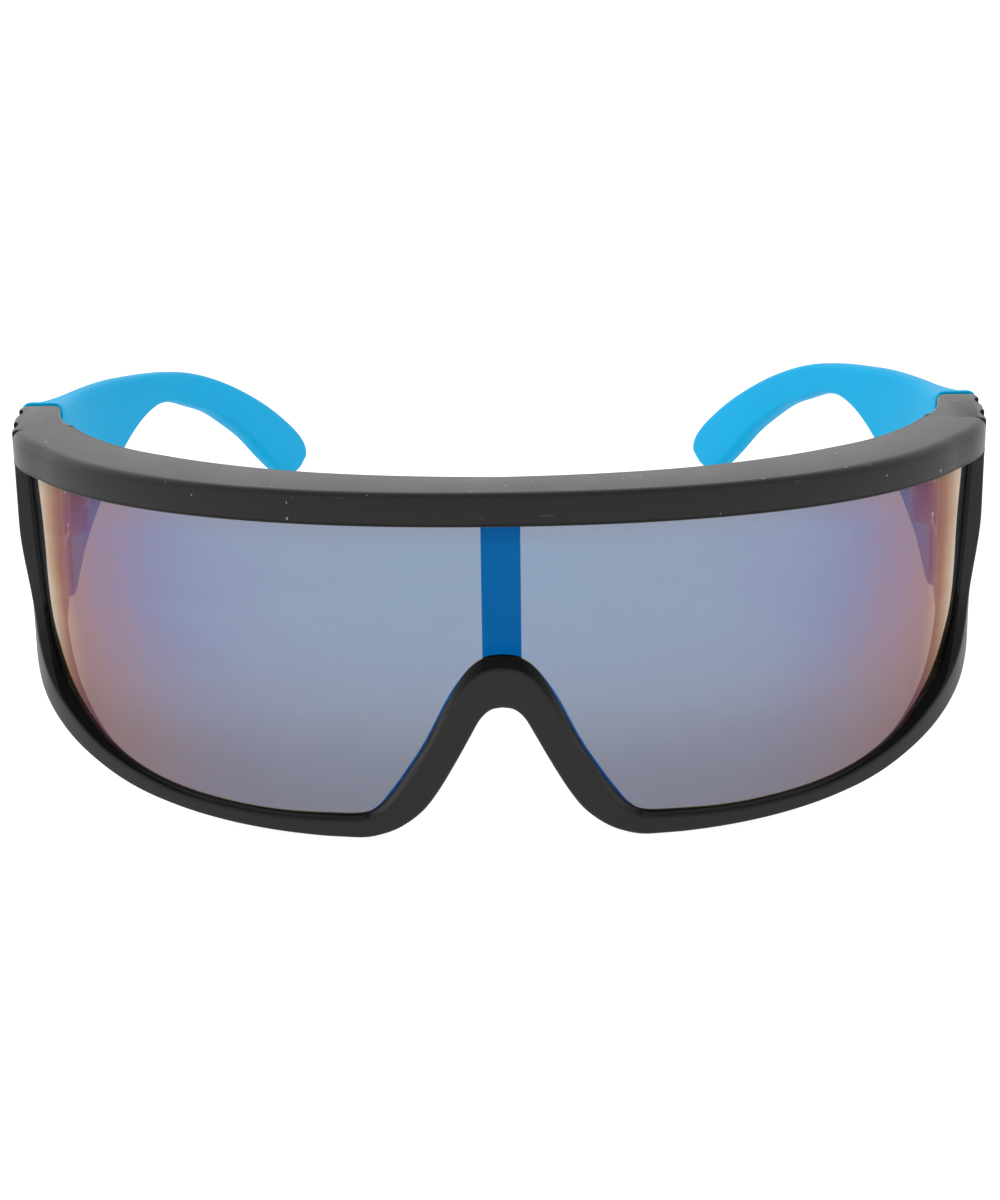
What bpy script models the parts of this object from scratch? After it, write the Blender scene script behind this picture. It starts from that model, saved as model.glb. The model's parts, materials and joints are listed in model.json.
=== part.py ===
"""Wraparound sport sunglasses: one shield lens in a black front frame under a brow bar, with folding temples.

The front is laid out flat and then wrapped. A point of the front has a run along the wrap (0 at the nose,
positive to +X), a depth from the brow's front edge towards the wearer, and a height. Lengths are millimetres
until they are placed, +Z is up, the lens faces -Y, and the origin is on the table under the middle.
"""
import math

import bmesh
import bpy
import numpy as np
from mathutils import Matrix, Vector

MM = 0.001
GAP = 0.3
MERGE = 0.00001
SHARP_DEGREES = 35
OBJECT_NAME = "wraparound_sunglasses"

# Overall sizes
TOTAL_DEPTH = 184.0
FRONT_Y = -TOTAL_DEPTH / 2
TOP_Z = 57.1

# The wrap, seen from above: a superellipse that ends in straight sides
WRAP_HALF_WIDTH = 75.7
WRAP_DEPTH = 38.5
WRAP_ROUNDNESS = 2.18
SIDE_FLARE = 1.4
FLARE_RUN = (76.0, 87.0)
FLARE_HEIGHT = (25.0, 42.0)

# Brow bar; the depths are (run, depth of the bar's back), and go on along the end block
BROW_HEIGHT = 5.4
BROW_BOTTOM_Z = TOP_Z - BROW_HEIGHT
BROW_END_RUN = 87.8
BROW_DEPTHS = (
    (0.0, 8.2),
    (30.0, 9.2),
    (45.0, 10.0),
    (57.0, 10.5),
    (75.0, 10.2),
    (84.0, 9.4),
    (88.5, 8.4),
    (91.0, 7.1),
    (95.0, 5.8),
    (101.0, 5.0),
)
BROW_EDGE = 0.6
BROW_BACK_EDGE = 0.8
BROW_FRONT_EDGE = 0.8
BROW_END_SOFTNESS = 1.4
BROW_STATIONS = 27

# Lens and the groove that holds it
LENS_FRONT = 2.3
LENS_THICKNESS = 1.6
GROOVE_FRONT = LENS_FRONT - GAP
GROOVE_BACK = LENS_FRONT + LENS_THICKNESS + GAP
LENS_FLARE = 1.4
LENS_FLARE_RUN = (62.0, 86.0)
LENS_FLARE_HEIGHT = (18.0, 54.0)
RIM_GROOVE = 1.0
BROW_GROOVE = 2.5
LENS_SEAT = RIM_GROOVE - GAP
LENS_TOP_Z = BROW_BOTTOM_Z + BROW_GROOVE - GAP
LENS_LEAST_STEP = 0.05

# Front frame
RIM_FACE = 1.0
SIDE_FACE = 0.0
FACE_CHANGE_RUN = (60.0, 84.0)
RIM_BACK = 5.0
RIM_EDGE = 0.9
SLIM_RIM_EDGE = 0.7
SLIM_RIM_WIDTH = 3.5
BLOCK_FRONT_RUN = BROW_END_RUN + GAP
BLOCK_BACK_RUN = 100.5
TAB_FRONT_RUN = 77.0
TAB_BACK = 9.0
TAB_HEIGHT = 2.0
END_BACK_RUNS = (95.0, 91.0, 88.5)
END_ROUNDING = 0.5
FRAME_TOP_Z = BROW_BOTTOM_Z - GAP
# One row for each turn of the rim, from the nose arch to the end block: run and height of the lens
# opening's edge, run and height of the outer edge, width of the inner bevel, and how far the wall behind
# the lens stands back from the opening's edge. It holds the lens beside the nose and at the ends only.
RIM_ROWS = (
    (0.0, 30.5, 0.0, 22.1, 2.0, 1.1),
    (2.6, 30.1, 1.8, 21.7, 2.0, 1.1),
    (4.9, 28.5, 3.4, 20.2, 1.9, 0.9),
    (7.0, 25.5, 5.0, 17.3, 1.6, 0.4),
    (9.2, 21.4, 7.0, 13.5, 1.4, 0.0),
    (12.2, 15.4, 9.9, 8.4, 1.2, 0.0),
    (15.1, 10.7, 12.6, 4.7, 1.1, 0.0),
    (18.0, 6.6, 16.0, 2.0, 0.9, 0.0),
    (20.2, 4.6, 19.3, 0.6, 0.8, 0.6),
    (22.6, 3.8, 22.5, 0.0, 0.7, 1.1),
    (28.0, 3.6, 28.0, 0.0, 0.7, 1.2),
    (36.0, 3.6, 36.0, 0.4, 0.7, 1.3),
    (44.0, 4.2, 44.5, 1.2, 0.7, 1.4),
    (52.0, 5.3, 53.0, 2.5, 0.7, 1.5),
    (59.7, 7.3, 62.0, 4.5, 0.7, 2.0),
    (66.5, 10.0, 70.5, 7.8, 0.8, 2.5),
    (72.5, 13.6, 77.5, 11.3, 0.8, 2.0),
    (77.5, 17.0, 84.5, 15.6, 0.8, 1.3),
    (81.5, 20.8, 90.5, 20.4, 0.8, 0.6),
    (84.5, 25.5, 96.5, 24.6, 0.8, 0.2),
    (85.8, 31.0, 100.4, 30.0, 0.8, 0.0),
    (86.0, 38.0, BLOCK_BACK_RUN, 38.0, 0.8, 0.0),
    (86.0, FRAME_TOP_Z - TAB_HEIGHT, BLOCK_BACK_RUN, FRAME_TOP_Z - TAB_HEIGHT, 0.8, 0.0),
)
BACK_SHARES = (0.66, 0.43, 0.28, 0.07)
LIP_SHARE = 0.7
LENS_LAST_ROW = 20
STEPS_PER_ROW = 3
RIB_GROOVE_RADIUS = 2.6
RIB_GROOVE_RUNS = (90.8, 97.0)
RIB_GROOVE_OFFSET = 1.6
RIB_BOTTOM_Z = 31.0

# Centre strut behind the lens
STRUT_WIDTH = 6.0
STRUT_FRONT = RIM_BACK + GAP
STRUT_THICKNESS = 1.4
STRUT_BOTTOM_Z = 24.2
STRUT_SOCKET = 2.0
STRUT_SCREW_Z = 26.6
STRUT_EDGE = 0.25

# Temples: plan curve, then rows of top Y and Z, bottom Y and Z (from the brow's front), and thickness
TEMPLE_FRONT = 46.0
TEMPLE_OUTER_X = 77.1
TEMPLE_SWEEP = 29.8
TEMPLE_SWEEP_RUN = 126.0
TEMPLE_SWEEP_POWER = 1.4
TEMPLE_ROWS = (
    (46.0, 57.3, 46.0, 26.2, 6.6),
    (48.0, 56.9, 47.0, 23.8, 6.6),
    (52.0, 55.6, 50.0, 22.6, 6.3),
    (58.0, 54.0, 56.5, 23.3, 5.5),
    (67.0, 52.0, 66.0, 25.6, 4.4),
    (78.0, 50.0, 76.0, 28.7, 3.8),
    (89.0, 47.8, 86.0, 32.3, 3.6),
    (99.0, 45.4, 95.0, 35.0, 3.6),
    (108.0, 43.1, 103.0, 36.3, 3.6),
    (117.0, 40.6, 111.0, 36.2, 3.6),
    (127.0, 37.4, 119.0, 34.1, 3.6),
    (137.0, 33.4, 128.0, 30.3, 3.6),
    (147.0, 28.7, 137.5, 25.9, 3.6),
    (156.0, 23.9, 146.5, 20.4, 3.6),
    (164.5, 18.9, 155.0, 14.6, 3.6),
    (172.5, 13.6, 163.0, 8.0, 3.5),
    (179.0, 8.7, 169.0, 3.3, 3.4),
    (182.8, 5.0, 174.0, 0.0, 3.3),
    (184.0, 2.4, 178.5, 0.0, 3.2),
)
TEMPLE_TIP_ROW = (183.9, 1.2, 181.6, 0.3, 3.2)
TEMPLE_EDGE_SHARE = 0.3
TEMPLE_STEPS_PER_ROW = 2

# Hinges: plan sizes are counted from the pin's axis, outwards and backwards
HINGE_X = 68.6
HINGE_Y = TEMPLE_FRONT - GAP / 2
HINGE_Z = 41.5
HINGE_HEIGHT = 12.0
BARREL_RADIUS = 1.6
PIN_RADIUS = 0.7
BORE_RADIUS = PIN_RADIUS + GAP
BARREL_CLEARANCE = 0.7
BARREL_TURN = 250.0
BARREL_STEPS = 14
KNUCKLE_CLEARANCE_X = (-2.2, 3.2)
KNUCKLE_HEIGHT = (HINGE_HEIGHT - 2 * GAP) / 3
PLATE_START = 1.0
PLATE_NECK = 2.6
PLATE_END = 9.5
PLATE_THICKNESS = 1.1
FRAME_PLATE_OUTER = 2.7
TEMPLE_PLATE_OUTER = 2.0
LEAF_SCREW_SPREAD = 3.6
FRAME_SCREW_Y = -6.0
TEMPLE_SCREW_Y = 6.0
POCKET_OVERRUN = 2.0
POCKET_START = 0.6

# Screws: shank radius, shank length, head radius, head height
LEAF_SCREW = (0.6, 3.9, 1.2, 0.6)
BROW_SCREW = (0.8, 5.6, 1.5, 0.7)
STRUT_SCREW = (0.6, 4.6, 1.2, 0.6)
HINGE_SCREW = (PIN_RADIUS, HINGE_HEIGHT + GAP, 1.5, 0.7)
BROW_SCREW_RUN = 81.0
BROW_SCREW_DEPTH = 6.9
SCREW_STEPS = 14
SCREW_POINT = 0.3
SLOT_WIDTH = 0.36


def smooth_step(value, low, high):
    """0 below low, 1 above high, with a smooth rise between."""
    share = min(max((value - low) / (high - low), 0.0), 1.0)
    return share * share * (3 - 2 * share)


def wrap_tables():
    """Length, X, Y and heading at many points along the right half of the wrap."""
    angles = np.linspace(0.0, math.pi / 2, 4001)
    x = WRAP_HALF_WIDTH * np.sin(angles) ** (2 / WRAP_ROUNDNESS)
    y = WRAP_DEPTH * (1 - np.cos(angles) ** (2 / WRAP_ROUNDNESS))
    lengths = np.concatenate([[0.0], np.cumsum(np.hypot(np.diff(x), np.diff(y)))])
    headings = np.arctan2(np.gradient(y), np.gradient(x))
    return lengths, x, y, headings


WRAP_LENGTHS, WRAP_X, WRAP_Y, WRAP_HEADINGS = wrap_tables()


def on_wrap(run, depth, height):
    """The place of a flat design point of the front."""
    straight = max(run - WRAP_LENGTHS[-1], 0.0)
    heading = np.interp(run, WRAP_LENGTHS, WRAP_HEADINGS)
    x = np.interp(run, WRAP_LENGTHS, WRAP_X) - math.sin(heading) * depth
    y = np.interp(run, WRAP_LENGTHS, WRAP_Y) + math.cos(heading) * depth + straight
    return Vector((x, FRONT_Y + y, height)) * MM


def flare(run, height):
    """How far the upper part of the front's ends stands out from the wrap."""
    return SIDE_FLARE * smooth_step(run, *FLARE_RUN) * smooth_step(height, *FLARE_HEIGHT)


def lens_flare(run, height):
    """How far the lens's ends stand out from the wrap; this grows evenly with the height."""
    low, high = LENS_FLARE_HEIGHT
    rise = min(max((height - low) / (high - low), 0.0), 1.0)
    return LENS_FLARE * smooth_step(run, *LENS_FLARE_RUN) * rise


def through_points(rows, steps):
    """A smooth curve through the rows (Catmull-Rom), with this many steps between neighbours."""
    rows = np.array(rows, float)
    before = np.vstack([2 * rows[:1] - rows[1:2], rows, 2 * rows[-1:] - rows[-2:-1]])
    found = []
    for i in range(len(rows) - 1):
        a, b, c, d = before[i : i + 4]
        square = 2 * a - 5 * b + 4 * c - d
        cube = 3 * b - a - 3 * c + d
        for k in range(steps):
            t = k / steps
            found.append((2 * b + (c - a) * t + square * t**2 + cube * t**3) / 2)
    found.append(rows[-1])
    return np.array(found)


def new_collection(name):
    collection = bpy.data.collections.new(name)
    bpy.context.scene.collection.children.link(collection)
    return collection


def new_material(name, color, roughness, metallic=0.0, alpha=1.0):
    material = bpy.data.materials.new(name)
    material.use_nodes = True
    shader = material.node_tree.nodes["Principled BSDF"]
    shader.inputs["Base Color"].default_value = (*color, 1.0)
    shader.inputs["Roughness"].default_value = roughness
    shader.inputs["Metallic"].default_value = metallic
    shader.inputs["Alpha"].default_value = alpha
    material.diffuse_color = (*color, alpha)
    return material


def add_object(name, mesh, collection, material=None):
    obj = bpy.data.objects.new(name, mesh)
    collection.objects.link(obj)
    if material:
        mesh.materials.append(material)
    mesh.shade_smooth()
    mesh.set_sharp_from_angle(angle=math.radians(SHARP_DEGREES))
    return obj


def mesh_data(name, mesh):
    """Turns a bmesh into mesh data."""
    data = bpy.data.meshes.new(name)
    mesh.to_mesh(data)
    mesh.free()
    return data


def loft_mesh(name, rings, open_start=False):
    """A skin over rings of the same point count, closed at its ends (or open at the first)."""
    mesh = bmesh.new()
    rows = [[mesh.verts.new(point) for point in ring] for ring in rings]
    for ring, after in zip(rows, rows[1:]):
        for i in range(len(ring)):
            k = (i + 1) % len(ring)
            mesh.faces.new((ring[i], ring[k], after[k], after[i]))
    if not open_start:
        mesh.faces.new(rows[0])
    mesh.faces.new(rows[-1])
    bmesh.ops.remove_doubles(mesh, verts=mesh.verts, dist=MERGE)
    bmesh.ops.recalc_face_normals(mesh, faces=mesh.faces)
    return mesh_data(name, mesh)


def box_mesh(name, low, high):
    """A box between two corners in millimetres."""
    low = Vector(low) * MM
    high = Vector(high) * MM
    size = Matrix.Diagonal((*(high - low), 1.0))
    mesh = bmesh.new()
    bmesh.ops.create_cube(mesh, size=1.0, matrix=Matrix.Translation((low + high) / 2) @ size)
    return mesh_data(name, mesh)


def mirror(obj):
    modifier = obj.modifiers.new("mirror", "MIRROR")
    modifier.use_axis = (True, False, False)
    modifier.use_clip = True
    modifier.merge_threshold = MERGE


def cut(obj, cutters):
    """Takes each cutter out of the object."""
    for cutter in cutters:
        modifier = obj.modifiers.new(cutter.name, "BOOLEAN")
        modifier.operation = "DIFFERENCE"
        modifier.solver = "EXACT"
        modifier.object = cutter


def as_cutter(obj):
    obj.hide_render = True
    obj.display_type = "WIRE"
    return obj


def box_cutter(name, low, high, cutters):
    return as_cutter(add_object(name, box_mesh(name, low, high), cutters))


def rod_cutter(name, start, direction, radius, length, cutters):
    """A round cutter from a point in metres along a direction; radius and length are millimetres."""
    mesh = bmesh.new()
    bmesh.ops.create_cone(
        mesh, cap_ends=True, segments=SCREW_STEPS,
        radius1=radius * MM, radius2=radius * MM, depth=length * MM
    )
    cutter = as_cutter(add_object(name, mesh_data(name, mesh), cutters))
    direction = Vector(direction).normalized()
    cutter.rotation_euler = direction.to_track_quat("Z", "Y").to_euler()
    cutter.location = Vector(start) + direction * length * MM / 2
    return cutter


def brow_depth(run):
    runs, depths = zip(*BROW_DEPTHS)
    return float(np.interp(run, runs, depths))


def make_brow(collection, material):
    """The bar over the lens: a solid moulding with a groove along its underside, right half mirrored."""
    rings = []
    groove_top = BROW_BOTTOM_Z + BROW_GROOVE
    for i in range(BROW_STATIONS + 1):
        run = BROW_END_RUN * i / BROW_STATIONS
        soft = BROW_FRONT_EDGE + BROW_END_SOFTNESS * smooth_step(run, BROW_END_RUN / 2, BROW_END_RUN)
        front = -flare(run, TOP_Z)
        back = brow_depth(run)
        out = lens_flare(run, LENS_TOP_Z)
        section = (
            (front, BROW_BOTTOM_Z + BROW_EDGE),
            (front + BROW_EDGE, BROW_BOTTOM_Z),
            (GROOVE_FRONT - out, BROW_BOTTOM_Z),
            (GROOVE_FRONT - out, groove_top),
            (GROOVE_BACK - out, groove_top),
            (GROOVE_BACK - out, BROW_BOTTOM_Z),
            (back - BROW_EDGE, BROW_BOTTOM_Z),
            (back, BROW_BOTTOM_Z + BROW_EDGE),
            (back, TOP_Z - BROW_BACK_EDGE),
            (back - BROW_BACK_EDGE, TOP_Z),
            (front + soft, TOP_Z),
            (front + 0.3 * soft, TOP_Z - 0.3 * soft),
            (front, TOP_Z - soft),
        )
        rings.append([on_wrap(run, depth, height) for depth, height in section])
    data = loft_mesh("brow_bar", rings, open_start=True)
    brow = add_object("brow_bar", data, collection, material)
    mirror(brow)
    return brow


def rim_stations():
    """Rows of the rim at every step; the table keeps the lowest ones flat."""
    stations = through_points(RIM_ROWS, STEPS_PER_ROW)
    stations[:, [3, 5]] = np.maximum(stations[:, [3, 5]], 0.0)
    return stations


def groove_floor(station):
    """The groove's depth from the opening's edge: deeper where the wall behind the lens stands far back."""
    return max(RIM_GROOVE, LIP_SHARE * station[5])


def rim_section(station):
    """A section across the rim: (run, depth, height) from the groove's lip round the face and the back."""
    inner = np.array(station[0:2])
    outer = np.array(station[2:4])
    bevel, wall = station[4:6]
    width = float(np.linalg.norm(outer - inner))
    across = (outer - inner) / width
    edge = RIM_EDGE if width > SLIM_RIM_WIDTH else SLIM_RIM_EDGE
    corner = 0.3 * edge
    floor = groove_floor(station)

    def point(distance, depth):
        run, height = inner + across * distance
        return max(run, 0.0), depth, height

    def groove(distance, depth):
        run, height = inner + across * distance
        return point(distance, depth - lens_flare(run, height))

    def face(distance):
        run, height = inner + across * distance
        level = RIM_FACE + (SIDE_FACE - RIM_FACE) * smooth_step(run, *FACE_CHANGE_RUN)
        return level - flare(run, height)

    return [
        groove(0.0, GROOVE_FRONT),
        groove(0.0, GROOVE_FRONT - corner),
        point(bevel, face(bevel)),
        point(width / 2, face(width / 2)),
        point(width - edge, face(width - edge)),
        point(width - corner, face(width) + corner),
        point(width, face(width) + edge),
        point(width, RIM_BACK - edge),
        point(width - corner, RIM_BACK - corner),
        point(width - edge, RIM_BACK),
        *(point(wall + share * (width - edge - wall), RIM_BACK) for share in BACK_SHARES),
        point(wall, RIM_BACK - corner),
        groove(LIP_SHARE * wall, GROOVE_BACK),
        groove(floor, GROOVE_BACK),
        groove(floor, GROOVE_FRONT),
    ]


def end_sections(last):
    """Sections above the rim's last row: the screw tab under the brow, then the end block behind it."""
    floor = last[0][2]
    outer_run, middle_run, inner_run = END_BACK_RUNS
    tab = list(last)
    tab[10:15] = [
        (outer_run, brow_depth(outer_run), floor),
        (middle_run, brow_depth(middle_run), floor),
        (inner_run, TAB_BACK, floor),
        (TAB_FRONT_RUN, TAB_BACK, floor),
        (TAB_FRONT_RUN, GROOVE_BACK + GAP, floor),
    ]

    def block(height, inset):
        front = BLOCK_FRONT_RUN + inset
        back = BLOCK_BACK_RUN - inset
        face = inset - flare(front, TOP_Z)
        end_face = inset - flare(back, TOP_Z)
        inner = brow_depth(front) - 1.0 - inset
        groove_front = GROOVE_FRONT - lens_flare(last[0][0], FRAME_TOP_Z)
        depths = np.linspace(inner, inner + 1.2 * (groove_front - inner), 7)
        section = [
            (front, depths[-2]),
            (front, depths[-1]),
            (front + END_ROUNDING, face),
            (last[3][0], end_face),
            (last[4][0] - inset, end_face),
            (last[5][0] - inset, end_face + 0.3 * RIM_EDGE),
            (back, end_face + RIM_EDGE),
            (back, last[7][1] - inset),
            (last[8][0] - inset, last[8][1] - inset),
            (last[9][0] - inset, last[9][1] - inset),
            (outer_run, brow_depth(outer_run) - inset),
            (middle_run, brow_depth(middle_run) - inset),
            (front + END_ROUNDING, brow_depth(front) - END_ROUNDING - inset),
        ]
        section += [(front, depth) for depth in depths[:-2]]
        return [(run, depth, height) for run, depth in section]

    raised = [(run, depth, FRAME_TOP_Z) for run, depth, _ in tab]
    blocks = [block(FRAME_TOP_Z, 0.0), block(TOP_Z - END_ROUNDING, 0.0), block(TOP_Z, END_ROUNDING)]
    return [tab, raised, *blocks]


def make_front_frame(collection, material):
    """Lower rim, nose arch, side flanges and end blocks in one moulding, right half mirrored."""
    sections = [rim_section(station) for station in rim_stations()]
    sections += end_sections(sections[-1])
    rings = [[on_wrap(*point) for point in section] for section in sections]
    data = loft_mesh("front_frame", rings, open_start=True)
    frame = add_object("front_frame", data, collection, material)
    mirror(frame)
    return frame


def make_lens(collection, material):
    """The shield lens: it fills the opening, seated in the rim's groove and in the brow's."""
    count = LENS_LAST_ROW * STEPS_PER_ROW + 1
    rings = []
    for station in rim_stations()[:count]:
        inner = np.array(station[0:2])
        across = np.array(station[2:4]) - inner
        seat = LENS_SEAT + groove_floor(station) - RIM_GROOVE
        run, low = inner + across / np.linalg.norm(across) * seat
        run = max(run, 0.0)
        section = []
        for thickness, height in ((0, low), (1, low), (1, LENS_TOP_Z), (0, LENS_TOP_Z)):
            depth = LENS_FRONT + thickness * LENS_THICKNESS - lens_flare(run, height)
            section.append((depth, height))
        rings.append([on_wrap(run, depth, height) for depth, height in section])
    for ring, after in zip(rings, rings[1:]):
        for point, next_point in zip(ring, after):
            next_point.x = max(next_point.x, point.x + LENS_LEAST_STEP * MM)
    data = loft_mesh("shield_lens", rings, open_start=True)
    lens = add_object("shield_lens", data, collection, material)
    mirror(lens)
    return lens


def make_strut(collection, material):
    """The upright strap behind the lens, from the nose arch up into the brow's socket."""
    half = STRUT_WIDTH / 2
    back = STRUT_FRONT + STRUT_THICKNESS
    top = BROW_BOTTOM_Z + STRUT_SOCKET - GAP
    data = box_mesh(
        "centre_strut", (-half, FRONT_Y + STRUT_FRONT, STRUT_BOTTOM_Z), (half, FRONT_Y + back, top)
    )
    strut = add_object("centre_strut", data, collection, material)
    rounding = strut.modifiers.new("rounding", "BEVEL")
    rounding.width = STRUT_EDGE * MM
    rounding.segments = 1
    return strut


def temple_point(side, y, z, depth):
    """A point on a temple: y and z in side view, and its depth in from the outer face."""
    share = max(y - TEMPLE_FRONT, 0.0) / TEMPLE_SWEEP_RUN
    x = TEMPLE_OUTER_X - TEMPLE_SWEEP * share**TEMPLE_SWEEP_POWER
    slope = TEMPLE_SWEEP * TEMPLE_SWEEP_POWER / TEMPLE_SWEEP_RUN * share ** (TEMPLE_SWEEP_POWER - 1)
    scale = math.hypot(1.0, slope)
    return Vector((side * (x - depth / scale), FRONT_Y + y - depth * slope / scale, z)) * MM


def temple_section(side, row):
    """A rounded bar section from a temple's top edge to its bottom edge."""
    top = np.array(row[0:2])
    bottom = np.array(row[2:4])
    thickness = row[4]
    width = float(np.linalg.norm(bottom - top))
    down = (bottom - top) / width
    edge = TEMPLE_EDGE_SHARE * thickness
    corner = 0.3 * edge
    outline = (
        (0.0, edge),
        (0.0, thickness - edge),
        (corner, thickness - corner),
        (edge, thickness),
        (width - edge, thickness),
        (width - corner, thickness - corner),
        (width, thickness - edge),
        (width, edge),
        (width - corner, corner),
        (width - edge, 0.0),
        (edge, 0.0),
        (corner, corner),
    )
    return [temple_point(side, *(top + down * distance), depth) for distance, depth in outline]


def make_temple(name, side, collection, material):
    """An arm: tall at the hinge, arched to a slim bar, and curved down and in behind the ear."""
    rows = through_points(TEMPLE_ROWS, TEMPLE_STEPS_PER_ROW)
    rows[:, 3] = np.maximum(rows[:, 3], 0.0)
    rings = [temple_section(side, row) for row in (*rows, TEMPLE_TIP_ROW)]
    return add_object(name, loft_mesh(name, rings), collection, material)


def leaf_outline(side, back, plate_outer):
    """A hinge leaf in plan, from the pin's axis; back is -1 for the frame's and 1 for the temple's."""
    inner = plate_outer - PLATE_THICKNESS
    points = [(inner, PLATE_END), (plate_outer, PLATE_END), (plate_outer, PLATE_START)]
    for i in range(BARREL_STEPS + 1):
        angle = -math.radians(BARREL_TURN) * i / BARREL_STEPS
        points.append((BARREL_RADIUS * math.cos(angle), BARREL_RADIUS * math.sin(angle)))
    points.append((inner, PLATE_NECK))
    return [(side * x, back * y) for x, y in points]


def add_outline(curve, points):
    spline = curve.splines.new("POLY")
    spline.points.add(len(points) - 1)
    for target, (x, y) in zip(spline.points, points):
        target.co = (x * MM, y * MM, 0.0, 1.0)
    spline.use_cyclic_u = True


def make_leaf(name, side, back, plate_outer, collection, material):
    """A hinge leaf: its outline, with the pin's bore, drawn up over the hinge's height."""
    curve = bpy.data.curves.new(name + "_outline", "CURVE")
    curve.dimensions = "2D"
    curve.fill_mode = "BOTH"
    curve.extrude = HINGE_HEIGHT / 2 * MM
    add_outline(curve, leaf_outline(side, back, plate_outer))
    bore = [math.tau * i / SCREW_STEPS for i in range(SCREW_STEPS)]
    add_outline(curve, [(BORE_RADIUS * math.cos(a), BORE_RADIUS * math.sin(a)) for a in bore])
    outline = bpy.data.objects.new(name + "_outline", curve)
    collection.objects.link(outline)
    outline.location = hinge_axis(side)
    bpy.context.view_layer.update()
    evaluated = outline.evaluated_get(bpy.context.evaluated_depsgraph_get())
    data = bpy.data.meshes.new_from_object(evaluated)
    mesh = bmesh.new()
    mesh.from_mesh(data)
    bmesh.ops.remove_doubles(mesh, verts=mesh.verts, dist=MERGE)
    bmesh.ops.recalc_face_normals(mesh, faces=mesh.faces)
    mesh.to_mesh(data)
    mesh.free()
    leaf = add_object(name, data, collection, material)
    leaf.matrix_world = outline.matrix_world.copy()
    bpy.data.objects.remove(outline)
    return leaf


def hinge_axis(side):
    return Vector((side * HINGE_X, FRONT_Y + HINGE_Y, HINGE_Z)) * MM


def knuckle_cutters(name, side, zones, cutters):
    """Boxes that clear the barrel out of a leaf between the given heights."""
    reach = BARREL_RADIUS + BARREL_CLEARANCE
    y = FRONT_Y + HINGE_Y
    left, right = sorted(side * (HINGE_X + offset) for offset in KNUCKLE_CLEARANCE_X)
    found = []
    for i, (low, high) in enumerate(zones):
        first = (left, y - reach, HINGE_Z + low)
        second = (right, y + reach, HINGE_Z + high)
        found.append(box_cutter(f"{name}_{i}", first, second, cutters))
    return found


def make_screw(name, head_seat, direction, sizes, collection, material, cutters):
    """A slotted screw: head_seat is the point under its head, direction the way its shank goes."""
    shank_radius, shank_length, head_radius, head_height = sizes
    profile = (
        (0.0, head_height),
        (head_radius * 0.8, head_height),
        (head_radius, head_height * 0.6),
        (head_radius, 0.0),
        (shank_radius, 0.0),
        (shank_radius, -shank_length + SCREW_POINT),
        (shank_radius - 0.8 * SCREW_POINT, -shank_length),
        (0.0, -shank_length),
    )
    mesh = bmesh.new()
    points = [mesh.verts.new((x * MM, 0.0, z * MM)) for x, z in profile]
    for first, second in zip(points, points[1:]):
        mesh.edges.new((first, second))
    screw = add_object(name, mesh_data(name, mesh), collection, material)
    turn = screw.modifiers.new("turn", "SCREW")
    turn.axis = "Z"
    turn.steps = SCREW_STEPS
    turn.render_steps = SCREW_STEPS
    turn.use_merge_vertices = True
    turn.merge_threshold = MERGE
    direction = Vector(direction).normalized()
    rotation = (-direction).to_track_quat("Z", "Y").to_euler()
    screw.rotation_euler = rotation
    screw.location = head_seat
    low = (-2 * head_radius, -SLOT_WIDTH / 2, head_height / 2)
    high = (2 * head_radius, SLOT_WIDTH / 2, 2 * head_height)
    slot = box_cutter(name + "_slot", low, high, cutters)
    slot.rotation_euler = rotation
    slot.location = head_seat
    cut(screw, [slot])
    return screw


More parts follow.
